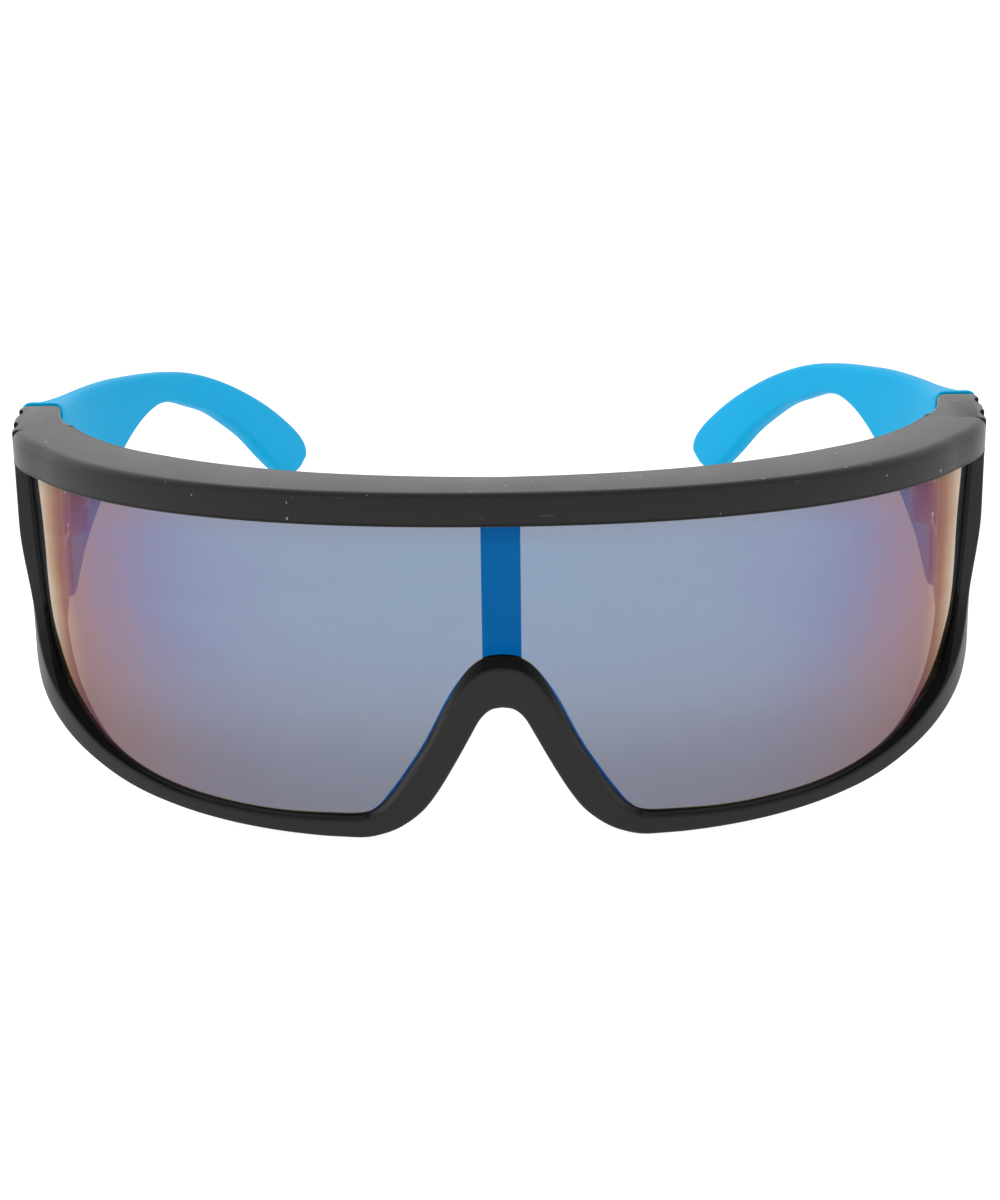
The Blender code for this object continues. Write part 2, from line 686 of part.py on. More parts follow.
def make_hinge(label, side, frame, temple, parts, cutters, steel):
    """One side's hinge: two leaves, the screw that is its pin, and two screws in each leaf."""
    axis = hinge_axis(side)
    half = KNUCKLE_HEIGHT / 2
    end = HINGE_HEIGHT / 2 + 1.0
    frame_leaf = make_leaf("hinge_frame_leaf_" + label, side, -1, FRAME_PLATE_OUTER, parts, steel)
    temple_leaf = make_leaf("hinge_temple_leaf_" + label, side, 1, TEMPLE_PLATE_OUTER, parts, steel)
    middle_zone = [(-half - GAP, half + GAP)]
    end_zones = [(-end, -half), (half, end)]
    cut(frame_leaf, knuckle_cutters("middle_gap_" + label, side, middle_zone, cutters))
    cut(temple_leaf, knuckle_cutters("end_gaps_" + label, side, end_zones, cutters))

    seat = axis + Vector((0.0, 0.0, HINGE_HEIGHT / 2 + GAP)) * MM
    make_screw("hinge_screw_" + label, seat, (0, 0, -1), HINGE_SCREW, parts, steel, cutters)

    moving = [temple, temple_leaf]
    for part, leaf, name, plate_outer, offset in (
        (frame, frame_leaf, "frame", FRAME_PLATE_OUTER, FRAME_SCREW_Y),
        (temple, temple_leaf, "temple", TEMPLE_PLATE_OUTER, TEMPLE_SCREW_Y),
    ):
        turn = math.copysign(1.0, offset)
        left, right = sorted((side * (HINGE_X + plate_outer + GAP), side * (HINGE_X - BARREL_RADIUS)))
        ends = (turn * (POCKET_START - POCKET_OVERRUN), turn * (PLATE_END + GAP))
        near, far = sorted(FRONT_Y + HINGE_Y + end for end in ends)
        height = HINGE_HEIGHT / 2 + GAP
        low = (left, near, HINGE_Z - height)
        high = (right, far, HINGE_Z + height)
        cut(part, [box_cutter(f"{name}_pocket_{label}", low, high, cutters)])
        for level, height in (("lower", -LEAF_SCREW_SPREAD), ("upper", LEAF_SCREW_SPREAD)):
            screw_name = f"{name}_leaf_screw_{level}_{label}"
            head = axis + Vector((side * (plate_outer - PLATE_THICKNESS - GAP), offset, height)) * MM
            screw = make_screw(screw_name, head, (side, 0, 0), LEAF_SCREW, parts, steel, cutters)
            hole = rod_cutter(
                screw_name + "_hole", head - Vector((side, 0, 0)) * MM, (side, 0, 0),
                LEAF_SCREW[0] + GAP, LEAF_SCREW[1] + 1.0 + GAP, cutters
            )
            cut(part, [hole])
            cut(leaf, [hole])
            if name == "temple":
                moving.append(screw)
    return moving


def hang_on(pivot, pieces):
    for piece in pieces:
        bpy.context.view_layer.update()
        world = piece.matrix_world.copy()
        piece.parent = pivot
        piece.matrix_parent_inverse = Matrix.Identity(4)
        piece.matrix_basis = Matrix.Translation(-pivot.location) @ world


def build():
    for obj in list(bpy.data.objects):
        bpy.data.objects.remove(obj)
    parts = new_collection(OBJECT_NAME)
    cutters = new_collection("cutters")

    brow_grey = new_material("brow_matte_grey", (0.075, 0.075, 0.072), 0.6)
    frame_black = new_material("frame_satin_black", (0.012, 0.012, 0.012), 0.35)
    strut_black = new_material("strut_black", (0.01, 0.01, 0.01), 0.4)
    lens_blue = new_material("lens_mirror_blue", (0.12, 0.2, 0.45), 0.05, 0.3, 0.6)
    temple_blue = new_material("temple_blue", (0.0, 0.32, 0.75), 0.4)
    steel = new_material("hinge_steel", (0.45, 0.45, 0.46), 0.3, 1.0)

    brow = make_brow(parts, brow_grey)
    frame = make_front_frame(parts, frame_black)
    make_lens(parts, lens_blue)
    strut = make_strut(parts, strut_black)

    half = STRUT_WIDTH / 2 + GAP
    socket = box_cutter(
        "strut_socket", (-half, FRONT_Y + STRUT_FRONT - GAP, BROW_BOTTOM_Z - 1.0),
        (half, FRONT_Y + STRUT_FRONT + STRUT_THICKNESS + GAP, BROW_BOTTOM_Z + STRUT_SOCKET), cutters
    )
    cut(brow, [socket])

    seat_y = FRONT_Y + STRUT_FRONT + STRUT_THICKNESS + GAP
    strut_seat = Vector((0.0, seat_y, STRUT_SCREW_Z)) * MM
    make_screw("strut_screw", strut_seat, (0, -1, 0), STRUT_SCREW, parts, steel, cutters)
    strut_hole = rod_cutter(
        "strut_hole", strut_seat + Vector((0, 1, 0)) * MM, (0, -1, 0),
        STRUT_SCREW[0] + GAP, STRUT_SCREW[1] + 1.0 + GAP, cutters
    )
    cut(strut, [strut_hole])
    cut(frame, [strut_hole])

    for label, side in (("right", 1), ("left", -1)):
        temple = make_temple("temple_" + label, side, parts, temple_blue)
        moving = make_hinge(label, side, frame, temple, parts, cutters, steel)
        pivot = bpy.data.objects.new("pivot_" + label, None)
        parts.objects.link(pivot)
        pivot.location = hinge_axis(side)
        hang_on(pivot, moving)

        tab_floor = FRAME_TOP_Z - TAB_HEIGHT
        brow_seat = on_wrap(BROW_SCREW_RUN, BROW_SCREW_DEPTH, tab_floor - GAP)
        brow_seat.x *= side
        make_screw("brow_screw_" + label, brow_seat, (0, 0, 1), BROW_SCREW, parts, steel, cutters)
        brow_hole = rod_cutter(
            "brow_hole_" + label, brow_seat - Vector((0, 0, 1)) * MM, (0, 0, 1),
            BROW_SCREW[0] + GAP, BROW_SCREW[1] + 1.0 + GAP, cutters
        )
        cut(frame, [brow_hole])
        cut(brow, [brow_hole])
        for i, run in enumerate(RIB_GROOVE_RUNS):
            start = on_wrap(run, -SIDE_FLARE - RIB_GROOVE_OFFSET, RIB_BOTTOM_Z)
            start.x *= side
            name = f"rib_groove_{label}_{i}"
            length = TOP_Z - RIB_BOTTOM_Z + 1.0
            cut(frame, [rod_cutter(name, start, (0, 0, 1), RIB_GROOVE_RADIUS, length, cutters)])


build()
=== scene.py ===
"""Wraparound sport sunglasses: the finished surfaces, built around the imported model.

The front is laid out flat and then wrapped. A point of the front has a run along the wrap (0 at the nose,
positive to +X), a depth from the brow's front edge towards the wearer, and a height. Lengths are millimetres
until they are placed, +Z is up and the lens faces -Y.
"""
import json
import math

import bmesh
import bpy
import numpy as np
from mathutils import Matrix, Vector


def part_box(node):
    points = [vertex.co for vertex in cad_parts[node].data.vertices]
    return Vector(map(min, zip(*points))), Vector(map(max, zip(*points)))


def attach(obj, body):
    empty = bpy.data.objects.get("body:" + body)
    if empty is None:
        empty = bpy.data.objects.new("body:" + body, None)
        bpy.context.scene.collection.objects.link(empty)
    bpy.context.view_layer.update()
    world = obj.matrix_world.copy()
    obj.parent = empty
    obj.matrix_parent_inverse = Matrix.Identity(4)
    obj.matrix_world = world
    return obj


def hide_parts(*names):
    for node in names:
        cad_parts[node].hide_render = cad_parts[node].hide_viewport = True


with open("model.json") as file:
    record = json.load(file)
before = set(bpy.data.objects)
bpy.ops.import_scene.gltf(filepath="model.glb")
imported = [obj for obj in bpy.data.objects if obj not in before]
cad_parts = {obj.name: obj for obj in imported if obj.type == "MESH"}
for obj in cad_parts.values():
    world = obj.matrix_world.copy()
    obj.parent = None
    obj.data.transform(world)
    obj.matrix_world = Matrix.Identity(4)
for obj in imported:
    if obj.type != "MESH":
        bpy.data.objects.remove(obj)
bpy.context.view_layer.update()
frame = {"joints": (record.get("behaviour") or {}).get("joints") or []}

MM = 0.001
SEAM = 0.1
MERGE = 0.000002
SHARP_DEGREES = 32
ROUND_STEPS = 32
EDGE_TURN = [math.pi / 2 * k / 5 for k in range(6)]


def node_box(name):
    """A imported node's corners in millimetres."""
    low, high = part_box(name)
    return low / MM, high / MM


def joint_place(name):
    """Where a joint's axis stands, in millimetres."""
    joint = next(joint for joint in frame["joints"] if joint["name"] == name)
    return Vector(joint["pos_m"]) / MM


BROW_LOW, BROW_HIGH = node_box("brow_bar")
TEMPLE_LOW, TEMPLE_HIGH = node_box("temple_right")
STRUT_LOW, STRUT_HIGH = node_box("centre_strut")
HINGE = joint_place("right_fold")

FRONT_Y = BROW_LOW.y
TOP_Z = BROW_HIGH.z
BROW_BOTTOM_Z = BROW_LOW.z

# The wrap, seen from above: a superellipse that ends in straight sides
WRAP_HALF_WIDTH = 75.7
WRAP_DEPTH = 38.5
WRAP_ROUNDNESS = 2.18
SIDE_FLARE = 1.4
FLARE_RUN = (76.0, 87.0)
FLARE_HEIGHT = (25.0, 42.0)

# Brow bar: (run, depth of its back), the reach of its upper front edge in the middle and at the ends, and
# where along it that edge softens
BROW_DEPTHS = (
    (0.0, 8.2),
    (30.0, 9.2),
    (45.0, 10.0),
    (57.0, 10.5),
    (75.0, 10.2),
    (84.0, 9.4),
    (88.5, 8.4),
    (91.0, 7.1),
    (95.0, 5.8),
    (101.0, 5.0),
)
BROW_END_RUN = 88.0 - SEAM / 2
BROW_EDGE = (0.9, 2.0)
BROW_EDGE_SHARES = (0.4, 0.9)
BROW_STATIONS = 110

# Lens and its groove
LENS_FRONT = 2.3
LENS_THICKNESS = 1.6
LENS_CLEARANCE = 0.1
GROOVE_FRONT = LENS_FRONT - LENS_CLEARANCE
GROOVE_BACK = LENS_FRONT + LENS_THICKNESS + LENS_CLEARANCE
LENS_FLARE = 1.4
LENS_FLARE_RUN = (62.0, 86.0)
LENS_FLARE_HEIGHT = (18.0, 54.0)
RIM_GROOVE = 1.0
BROW_GROOVE = 2.5
LENS_SEAT = 0.8
LENS_TOP_Z = BROW_BOTTOM_Z + BROW_GROOVE - 2 * LENS_CLEARANCE
LENS_END_RUN = 86.4
LENS_STATIONS = 150

# Front frame
RIM_FACE = 1.0
FACE_CHANGE_RUN = (60.0, 84.0)
RIM_BACK = 5.0
BLOCK_FRONT_RUN = BROW_END_RUN + 0.4 * SEAM
BLOCK_BACK_RUN = 100.5
TAB_FRONT_RUN = 77.0
TAB_BACK_RUN = 88.5
TAB_BACK = 9.0
TAB_HEIGHT = 2.0
FRAME_TOP_Z = BROW_BOTTOM_Z - SEAM
# One row for each turn of the rim, from the nose arch to the end block: run and height of the lens
# opening's edge, run and height of the outer edge, width of the inner bevel, and how far the wall behind
# the lens stands back from the opening's edge. It holds the lens beside the nose and at the ends only.
RIM_ROWS = (
    (0.0, 30.5, 0.0, 22.1, 2.0, 1.1),
    (2.6, 30.1, 1.8, 21.7, 2.0, 1.1),
    (4.9, 28.5, 3.4, 20.2, 1.9, 0.9),
    (7.0, 25.5, 5.0, 17.3, 1.6, 0.4),
    (9.2, 21.4, 7.0, 13.5, 1.4, 0.0),
    (12.2, 15.4, 9.9, 8.4, 1.2, 0.0),
    (15.1, 10.7, 12.6, 4.7, 1.1, 0.0),
    (18.0, 6.6, 16.0, 2.0, 0.9, 0.0),
    (20.2, 4.6, 19.3, 0.6, 0.8, 0.6),
    (22.6, 3.8, 22.5, 0.0, 0.7, 1.1),
    (28.0, 3.6, 28.0, 0.0, 0.7, 1.2),
    (36.0, 3.6, 36.0, 0.4, 0.7, 1.3),
    (44.0, 4.2, 44.5, 1.2, 0.7, 1.4),
    (52.0, 5.3, 53.0, 2.5, 0.7, 1.5),
    (59.7, 7.3, 62.0, 4.5, 0.7, 2.0),
    (66.5, 10.0, 70.5, 7.8, 0.8, 2.5),
    (72.5, 13.6, 77.5, 11.3, 0.8, 2.0),
    (77.5, 17.0, 84.5, 15.6, 0.8, 1.3),
    (81.5, 20.8, 90.5, 20.4, 0.8, 0.6),
    (84.5, 25.5, 96.5, 24.6, 0.8, 0.2),
    (85.8, 31.0, 100.4, 30.0, 0.8, 0.0),
    (86.0, 38.0, BLOCK_BACK_RUN, 38.0, 0.8, 0.0),
    (86.0, FRAME_TOP_Z - TAB_HEIGHT, BLOCK_BACK_RUN, FRAME_TOP_Z - TAB_HEIGHT, 0.8, 0.0),
)
BACK_SHARES = (0.66, 0.43, 0.28, 0.07)
LIP_SHARE = 0.7
STEPS_PER_RIM_ROW = 9
FACE_SHARES = (0.3, 0.6)
RIM_EDGE = 0.9
BEVEL_START = 0.25
END_INNER_RUNS = (95.0, 91.0)
BLOCK_ROUNDING = 0.6
RIB_GROOVE_RADIUS = 2.6
RIB_GROOVE_RUNS = (90.8, 97.0)
RIB_GROOVE_OFFSET = 1.6
RIB_GROOVE_LENGTH = 30.0
RIB_BOTTOM_Z = 31.0

# Polish: the strips of a section that have it, and the share of the bevel it takes before and at the flanges
POLISHED_STRIPS = range(0, 4)
POLISH_SHARES = (0.98, 0.15)
POLISH_CHANGE_RUN = (74.0, 84.5)

# Strut: how far its ends are eased, the reach of its upright edges, and the height of its screw
STRUT_EDGE = 0.3
STRUT_CORNER = 0.4
STRUT_SCREW_Z = 26.6

# Temples: plan curve, then rows of top Y and Z, bottom Y and Z (from the brow's front), and thickness
TEMPLE_FRONT = TEMPLE_LOW.y - FRONT_Y
TEMPLE_OUTER_X = TEMPLE_HIGH.x
TEMPLE_SWEEP = 29.8
TEMPLE_SWEEP_RUN = 126.0
TEMPLE_SWEEP_POWER = 1.4
TEMPLE_ROWS = (
    (46.0, 57.3, 46.0, 26.2, 6.6),
    (48.0, 56.9, 47.0, 23.8, 6.6),
    (52.0, 55.6, 50.0, 22.6, 6.3),
    (58.0, 54.0, 56.5, 23.3, 5.5),
    (67.0, 52.0, 66.0, 25.6, 4.4),
    (78.0, 50.0, 76.0, 28.7, 3.8),
    (89.0, 47.8, 86.0, 32.3, 3.6),
    (99.0, 45.4, 95.0, 35.0, 3.6),
    (108.0, 43.1, 103.0, 36.3, 3.6),
    (117.0, 40.6, 111.0, 36.2, 3.6),
    (127.0, 37.4, 119.0, 34.1, 3.6),
    (137.0, 33.4, 128.0, 30.3, 3.6),
    (147.0, 28.7, 137.5, 25.9, 3.6),
    (156.0, 23.9, 146.5, 20.4, 3.6),
    (164.5, 18.9, 155.0, 14.6, 3.6),
    (172.5, 13.6, 163.0, 8.0, 3.5),
    (179.0, 8.7, 169.0, 3.3, 3.4),
    (182.8, 5.0, 174.0, 0.0, 3.3),
    (183.9, 2.4, 178.5, 0.0, 3.2),
    (183.7, 1.2, 181.6, 0.3, 2.6),
)
TEMPLE_EDGE_SHARE = 0.42
TEMPLE_EDGE_MOST = 1.6
TEMPLE_STEPS_PER_ROW = 7
BUTT_EDGE = 0.8

# Hinges: plan sizes are counted from the pin's axis, outwards and backwards
HINGE_HEIGHT = 12.0
HINGE_GAP = 0.3
BARREL_RADIUS = 1.6
PIN_RADIUS = 0.7
BORE_RADIUS = PIN_RADIUS + 0.1
KNUCKLE_REACH = 2.3
KNUCKLE_HEIGHT = (HINGE_HEIGHT - 2 * HINGE_GAP) / 3
PLATE_START = 1.0
PLATE_NECK = 2.6
PLATE_END = 9.5
PLATE_THICKNESS = 1.1
PLATE_EDGE = 0.12
BARREL_TURN = 250
POCKET_REACH = 1.4
SCREW_HOLE_RADIUS = 0.65
HOLE_OVERLAP = 1.0
FRAME_PLATE_OUTER = 2.7
TEMPLE_PLATE_OUTER = 2.0
LEAF_SCREW_SPREAD = 3.6
LEAF_SCREW_Y = 6.0

# Screws: shank radius, shank length, head radius, head height
LEAF_SCREW = (0.6, 3.9, 1.2, 0.6)
BROW_SCREW = (0.8, 5.6, 1.5, 0.7)
STRUT_SCREW = (0.6, 4.6, 1.2, 0.6)
HINGE_SCREW = (PIN_RADIUS, HINGE_HEIGHT + HINGE_GAP, 1.5, 0.7)
BROW_SCREW_RUN = 81.0
BROW_SCREW_DEPTH = 6.9


# ---------------------------------------------------------------- curves

def smooth_step(value, low, high):
    """0 below low, 1 above high, with a smooth rise between."""
    share = min(max((value - low) / (high - low), 0.0), 1.0)
    return share * share * (3 - 2 * share)


def wrap_tables():
    """Length, X, Y and heading at many points along the right half of the wrap."""
    angles = np.linspace(0.0, math.pi / 2, 4001)
    x = WRAP_HALF_WIDTH * np.sin(angles) ** (2 / WRAP_ROUNDNESS)
    y = WRAP_DEPTH * (1 - np.cos(angles) ** (2 / WRAP_ROUNDNESS))
    lengths = np.concatenate([[0.0], np.cumsum(np.hypot(np.diff(x), np.diff(y)))])
    headings = np.arctan2(np.gradient(y), np.gradient(x))
    return lengths, x, y, headings


WRAP_LENGTHS, WRAP_X, WRAP_Y, WRAP_HEADINGS = wrap_tables()


def on_wrap(run, depth, height):
    """The place of a flat design point of the front."""
    straight = max(run - WRAP_LENGTHS[-1], 0.0)
    heading = np.interp(run, WRAP_LENGTHS, WRAP_HEADINGS)
    x = np.interp(run, WRAP_LENGTHS, WRAP_X) - math.sin(heading) * depth
    y = np.interp(run, WRAP_LENGTHS, WRAP_Y) + math.cos(heading) * depth + straight
    return Vector((x, FRONT_Y + y, height)) * MM


def flare(run, height):
    """How far the upper part of the front's ends stands out from the wrap."""
    return SIDE_FLARE * smooth_step(run, *FLARE_RUN) * smooth_step(height, *FLARE_HEIGHT)


def lens_flare(run, height):
    """How far the lens's ends stand out from the wrap; this grows evenly with the height."""
    low, high = LENS_FLARE_HEIGHT
    rise = min(max((height - low) / (high - low), 0.0), 1.0)
    return LENS_FLARE * smooth_step(run, *LENS_FLARE_RUN) * rise


def through_points(rows, steps):
    """A smooth curve through the rows (Catmull-Rom), with this many steps between neighbours."""
    rows = np.array(rows, float)
    before = np.vstack([2 * rows[:1] - rows[1:2], rows, 2 * rows[-1:] - rows[-2:-1]])
    found = []
    for i in range(len(rows) - 1):
        a, b, c, d = before[i : i + 4]
        square = 2 * a - 5 * b + 4 * c - d
        cube = 3 * b - a - 3 * c + d
        for k in range(steps):
            t = k / steps
            found.append((2 * b + (c - a) * t + square * t**2 + cube * t**3) / 2)
    found.append(rows[-1])
    return np.array(found)


def soft_outline(corners):
    """A closed outline whose corners (x, y, reach, steps) are eased over that reach in that many steps."""
    places = np.array([corner[:2] for corner in corners], float)
    found = []
    for i, (_, _, reach, steps) in enumerate(corners):
        here = places[i]
        sides = (places[i - 1] - here, places[(i + 1) % len(corners)] - here)
        ends = []
        for side in sides:
            length = float(np.linalg.norm(side))
            ends.append(here + side * min(reach, 0.45 * length) / max(length, 1e-9))
        for k in range(steps + 1):
            t = k / steps if steps else 0.5
            found.append((1 - t) ** 2 * ends[0] + 2 * t * (1 - t) * here + t**2 * ends[1])
    return found


# ---------------------------------------------------------------- meshes

def add_object(name, mesh, materials=()):
    obj = bpy.data.objects.new(name, mesh)
    bpy.context.scene.collection.objects.link(obj)
    for material in materials:
        mesh.materials.append(material)
    mesh.shade_smooth()
    mesh.set_sharp_from_angle(angle=math.radians(SHARP_DEGREES))
    return obj


def mesh_data(name, mesh):
    """Turns a bmesh into mesh data."""
    data = bpy.data.meshes.new(name)
    mesh.to_mesh(data)
    mesh.free()
    return data


def loft_mesh(name, rings, open_start=False, second=()):
    """A skin over rings of the same point count. The strips named in second take the second material."""
    mesh = bmesh.new()
    rows = [[mesh.verts.new(point) for point in ring] for ring in rings]
    for ring, after in zip(rows, rows[1:]):
        for i in range(len(ring)):
            k = (i + 1) % len(ring)
            face = mesh.faces.new((ring[i], ring[k], after[k], after[i]))
            face.material_index = int(i in second)
    if not open_start:
        mesh.faces.new(rows[0])
    mesh.faces.new(rows[-1])
    bmesh.ops.remove_doubles(mesh, verts=mesh.verts, dist=MERGE)
    bmesh.ops.dissolve_degenerate(mesh, edges=mesh.edges, dist=MERGE)
    bmesh.ops.recalc_face_normals(mesh, faces=mesh.faces)
    return mesh_data(name, mesh)


def mirror(obj):
    modifier = obj.modifiers.new("mirror", "MIRROR")
    modifier.use_axis = (True, False, False)
    modifier.use_clip = True
    modifier.merge_threshold = MERGE * 2


def box_cutter(name, low, high):
    """A box between two corners in millimetres, to be cut out of something."""
    low = Vector(low) * MM
    high = Vector(high) * MM
    size = Matrix.Diagonal((*(high - low), 1.0))
    mesh = bmesh.new()
    bmesh.ops.create_cube(mesh, size=1.0, matrix=Matrix.Translation((low + high) / 2) @ size)
    return add_object(name, mesh_data(name, mesh))


def rod_cutter(name, start, direction, radius, length):
    """A round cutter from a point in metres along a direction; radius and length are millimetres."""
    mesh = bmesh.new()
    bmesh.ops.create_cone(
        mesh, cap_ends=True, segments=ROUND_STEPS,
        radius1=radius * MM, radius2=radius * MM, depth=length * MM
    )
    cutter = add_object(name, mesh_data(name, mesh))
    direction = Vector(direction).normalized()
    cutter.rotation_euler = direction.to_track_quat("Z", "Y").to_euler()
    cutter.location = Vector(start) + direction * length * MM / 2
    return cutter


def settle(obj, cutters=()):
    """Takes the cutters out of the object and keeps the result as its mesh."""
    for cutter in cutters:
        modifier = obj.modifiers.new(cutter.name, "BOOLEAN")
        modifier.operation = "DIFFERENCE"
        modifier.solver = "EXACT"
        modifier.material_mode = "TRANSFER"
        modifier.object = cutter
    bpy.context.view_layer.update()
    evaluated = obj.evaluated_get(bpy.context.evaluated_depsgraph_get())
    data = bpy.data.meshes.new_from_object(evaluated)
    obj.modifiers.clear()
    obj.data = data
    data.shade_smooth()
    data.set_sharp_from_angle(angle=math.radians(SHARP_DEGREES))
    for cutter in cutters:
        bpy.data.objects.remove(cutter)
    return obj


def stand_for(obj, node, body):
    """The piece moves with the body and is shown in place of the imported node."""
    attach(obj, body)
    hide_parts(node)


# ---------------------------------------------------------------- materials

class Nodes:
    """A material's nodes, with short calls for the ones used here."""

    def __init__(self, name):
        self.material = bpy.data.materials.new(name)
        self.material.use_nodes = True
        self.tree = self.material.node_tree
        self.shader = self.tree.nodes["Principled BSDF"]
        self.output = self.tree.nodes["Material Output"]

    def link(self, source, target):
        self.tree.links.new(source, target)

    def new(self, kind, **settings):
        made = self.tree.nodes.new(kind)
        for key, value in settings.items():
            setattr(made, key, value)
        return made

    def place(self, stretch=(1.0, 1.0, 1.0)):
        """Object coordinates, stretched."""
        mapping = self.new("ShaderNodeMapping")
        mapping.inputs["Scale"].default_value = stretch
        self.link(self.new("ShaderNodeTexCoord").outputs["Object"], mapping.inputs["Vector"])
        return mapping.outputs["Vector"]

    def noise(self, size, detail=3.0, roughness=0.55, stretch=(1.0, 1.0, 1.0)):
        """A noise whose features are about this many millimetres across."""
        made = self.new("ShaderNodeTexNoise")
        made.inputs["Scale"].default_value = 1 / (size * MM)
        made.inputs["Detail"].default_value = detail
        made.inputs["Roughness"].default_value = roughness
        self.link(self.place(stretch), made.inputs["Vector"])
        return made.outputs["Fac"]

    def ranged(self, value, source, target):
        """value, taken from one range to another and held there."""
        made = self.new("ShaderNodeMapRange", interpolation_type="SMOOTHSTEP")
        for name, number in zip(("From Min", "From Max", "To Min", "To Max"), (*source, *target)):
            made.inputs[name].default_value = number
        self.link(value, made.inputs["Value"])
        return made.outputs["Result"]

    def mixed(self, share, first, second):
        """A colour between two, which are three numbers or a socket each."""
        made = self.new("ShaderNodeMix", data_type="RGBA")
        self.link(share, made.inputs["Factor"])
        for socket, colour in ((made.inputs["A"], first), (made.inputs["B"], second)):
            if isinstance(colour, tuple):
                socket.default_value = (*colour, 1.0)
            else:
                self.link(colour, socket)
        return made.outputs["Result"]

    def level(self, number):
        """A plain number as a socket."""
        made = self.new("ShaderNodeValue")
        made.outputs[0].default_value = number
        return made.outputs[0]

    def added(self, first, second, by=1.0):
        made = self.new("ShaderNodeMath", operation="MULTIPLY_ADD")
        self.link(first, made.inputs[0])
        made.inputs[1].default_value = by
        self.link(second, made.inputs[2])
        return made.outputs[0]

    def ramp(self, value, stops):
        """A colour ramp with (place, colour) stops."""
        made = self.new("ShaderNodeValToRGB")
        made.color_ramp.interpolation = "CARDINAL"
        elements = made.color_ramp.elements
        while len(elements) < len(stops):
            elements.new(0.5)
        for element, (place, colour) in zip(elements, stops):
            element.position = place
            element.color = (*colour, 1.0)
        self.link(value, made.inputs["Fac"])
        return made.outputs["Color"]

    def bump(self, height, depth, strength=1.0):
        """A bump of this many millimetres, fed to the shader."""
        made = self.new("ShaderNodeBump")
        made.inputs["Distance"].default_value = depth * MM
        made.inputs["Strength"].default_value = strength
        self.link(height, made.inputs["Height"])
        self.link(made.outputs["Normal"], self.shader.inputs["Normal"])

    def set(self, **values):
        """Plain values on the shader's own sockets; an underscore in a name is a space."""
        for name, value in values.items():
            socket = self.shader.inputs[name.replace("_", " ")]
            socket.default_value = (*value, 1.0) if isinstance(value, tuple) else value

    def feed(self, name, source):
        self.link(source, self.shader.inputs[name])


def brow_material():
    """Soft-touch dark grey paint: fine grain, cloudy tone, and a few pale specks and hair scratches."""
    nodes = Nodes("brow_soft_touch_grey")
    cloud = nodes.noise(9.0, detail=4.0)
    grain = nodes.noise(0.12, detail=2.0)
    paint = nodes.mixed(cloud, (0.0105, 0.0105, 0.01), (0.014, 0.014, 0.0133))
    specks = nodes.ranged(nodes.noise(0.8, detail=0.0), (0.855, 0.865), (0.0, 0.7))
    hairs = nodes.ranged(
        nodes.noise(2.4, detail=1.0, stretch=(0.25, 1.0, 2.6)), (0.745, 0.76), (0.0, 0.16)
    )
    marked = nodes.mixed(specks, paint, (0.35, 0.34, 0.32))
    nodes.feed("Base Color", nodes.mixed(hairs, marked, (0.16, 0.16, 0.155)))
    nodes.feed("Roughness", nodes.ranged(cloud, (0.3, 0.7), (0.5, 0.58)))
    nodes.bump(grain, 0.012)
    nodes.set(Specular_IOR_Level=0.16, Sheen_Weight=0.3, Sheen_Roughness=0.5)
    return nodes.material


def brow_edge_shade_material():
    """The brow's corner lines, painted a darker grey as the shade along them."""
    nodes = Nodes("brow_edge_painted_shade")
    cloud = nodes.noise(4.0, detail=4.0)
    nodes.feed("Base Color", nodes.mixed(cloud, (0.004, 0.004, 0.004), (0.007, 0.007, 0.0068)))
    nodes.feed("Roughness", nodes.ranged(cloud, (0.3, 0.7), (0.42, 0.5)))
    nodes.bump(nodes.noise(0.12, detail=2.0), 0.008)
    nodes.set(Specular_IOR_Level=0.12, Sheen_Weight=0.12, Sheen_Roughness=0.5)
    return nodes.material


def frame_material():
    """Satin black injection-moulded plastic with a fine spark-eroded grain."""
    nodes = Nodes("frame_satin_black")
    cloud = nodes.noise(7.0, detail=4.0)
    grain = nodes.noise(0.1, detail=2.0)
    nodes.feed("Base Color", nodes.mixed(cloud, (0.006, 0.006, 0.0052), (0.0095, 0.0095, 0.0085)))
    nodes.feed("Roughness", nodes.ranged(cloud, (0.3, 0.7), (0.4, 0.48)))
    nodes.bump(grain, 0.008)
    nodes.set(Specular_IOR_Level=0.3, Sheen_Weight=0.02, Sheen_Roughness=0.5)
    return nodes.material


def gloss_material():
    """The polished bevel of the black frame, with faint polishing waves."""
    nodes = Nodes("frame_gloss_black")
    wave = nodes.noise(3.0, detail=2.0)
    nodes.feed("Base Color", nodes.mixed(wave, (0.0015, 0.0012, 0.0022), (0.003, 0.0025, 0.004)))
    nodes.feed("Roughness", nodes.ranged(wave, (0.3, 0.7), (0.08, 0.13)))
    nodes.bump(wave, 0.004)
    nodes.set(Specular_IOR_Level=0.16)
    return nodes.material


def groove_shade_material():
    """Unpolished black painted inside the rib grooves as the shade in them."""
    nodes = Nodes("frame_groove_painted_shade")
    cloud = nodes.noise(2.0, detail=3.0)
    nodes.feed("Base Color", nodes.mixed(cloud, (0.001, 0.001, 0.001), (0.003, 0.003, 0.003)))
    nodes.feed("Roughness", nodes.ranged(cloud, (0.3, 0.7), (0.55, 0.65)))
    nodes.bump(nodes.noise(0.15, detail=2.0), 0.01)
    nodes.set(Specular_IOR_Level=0.05)
    return nodes.material


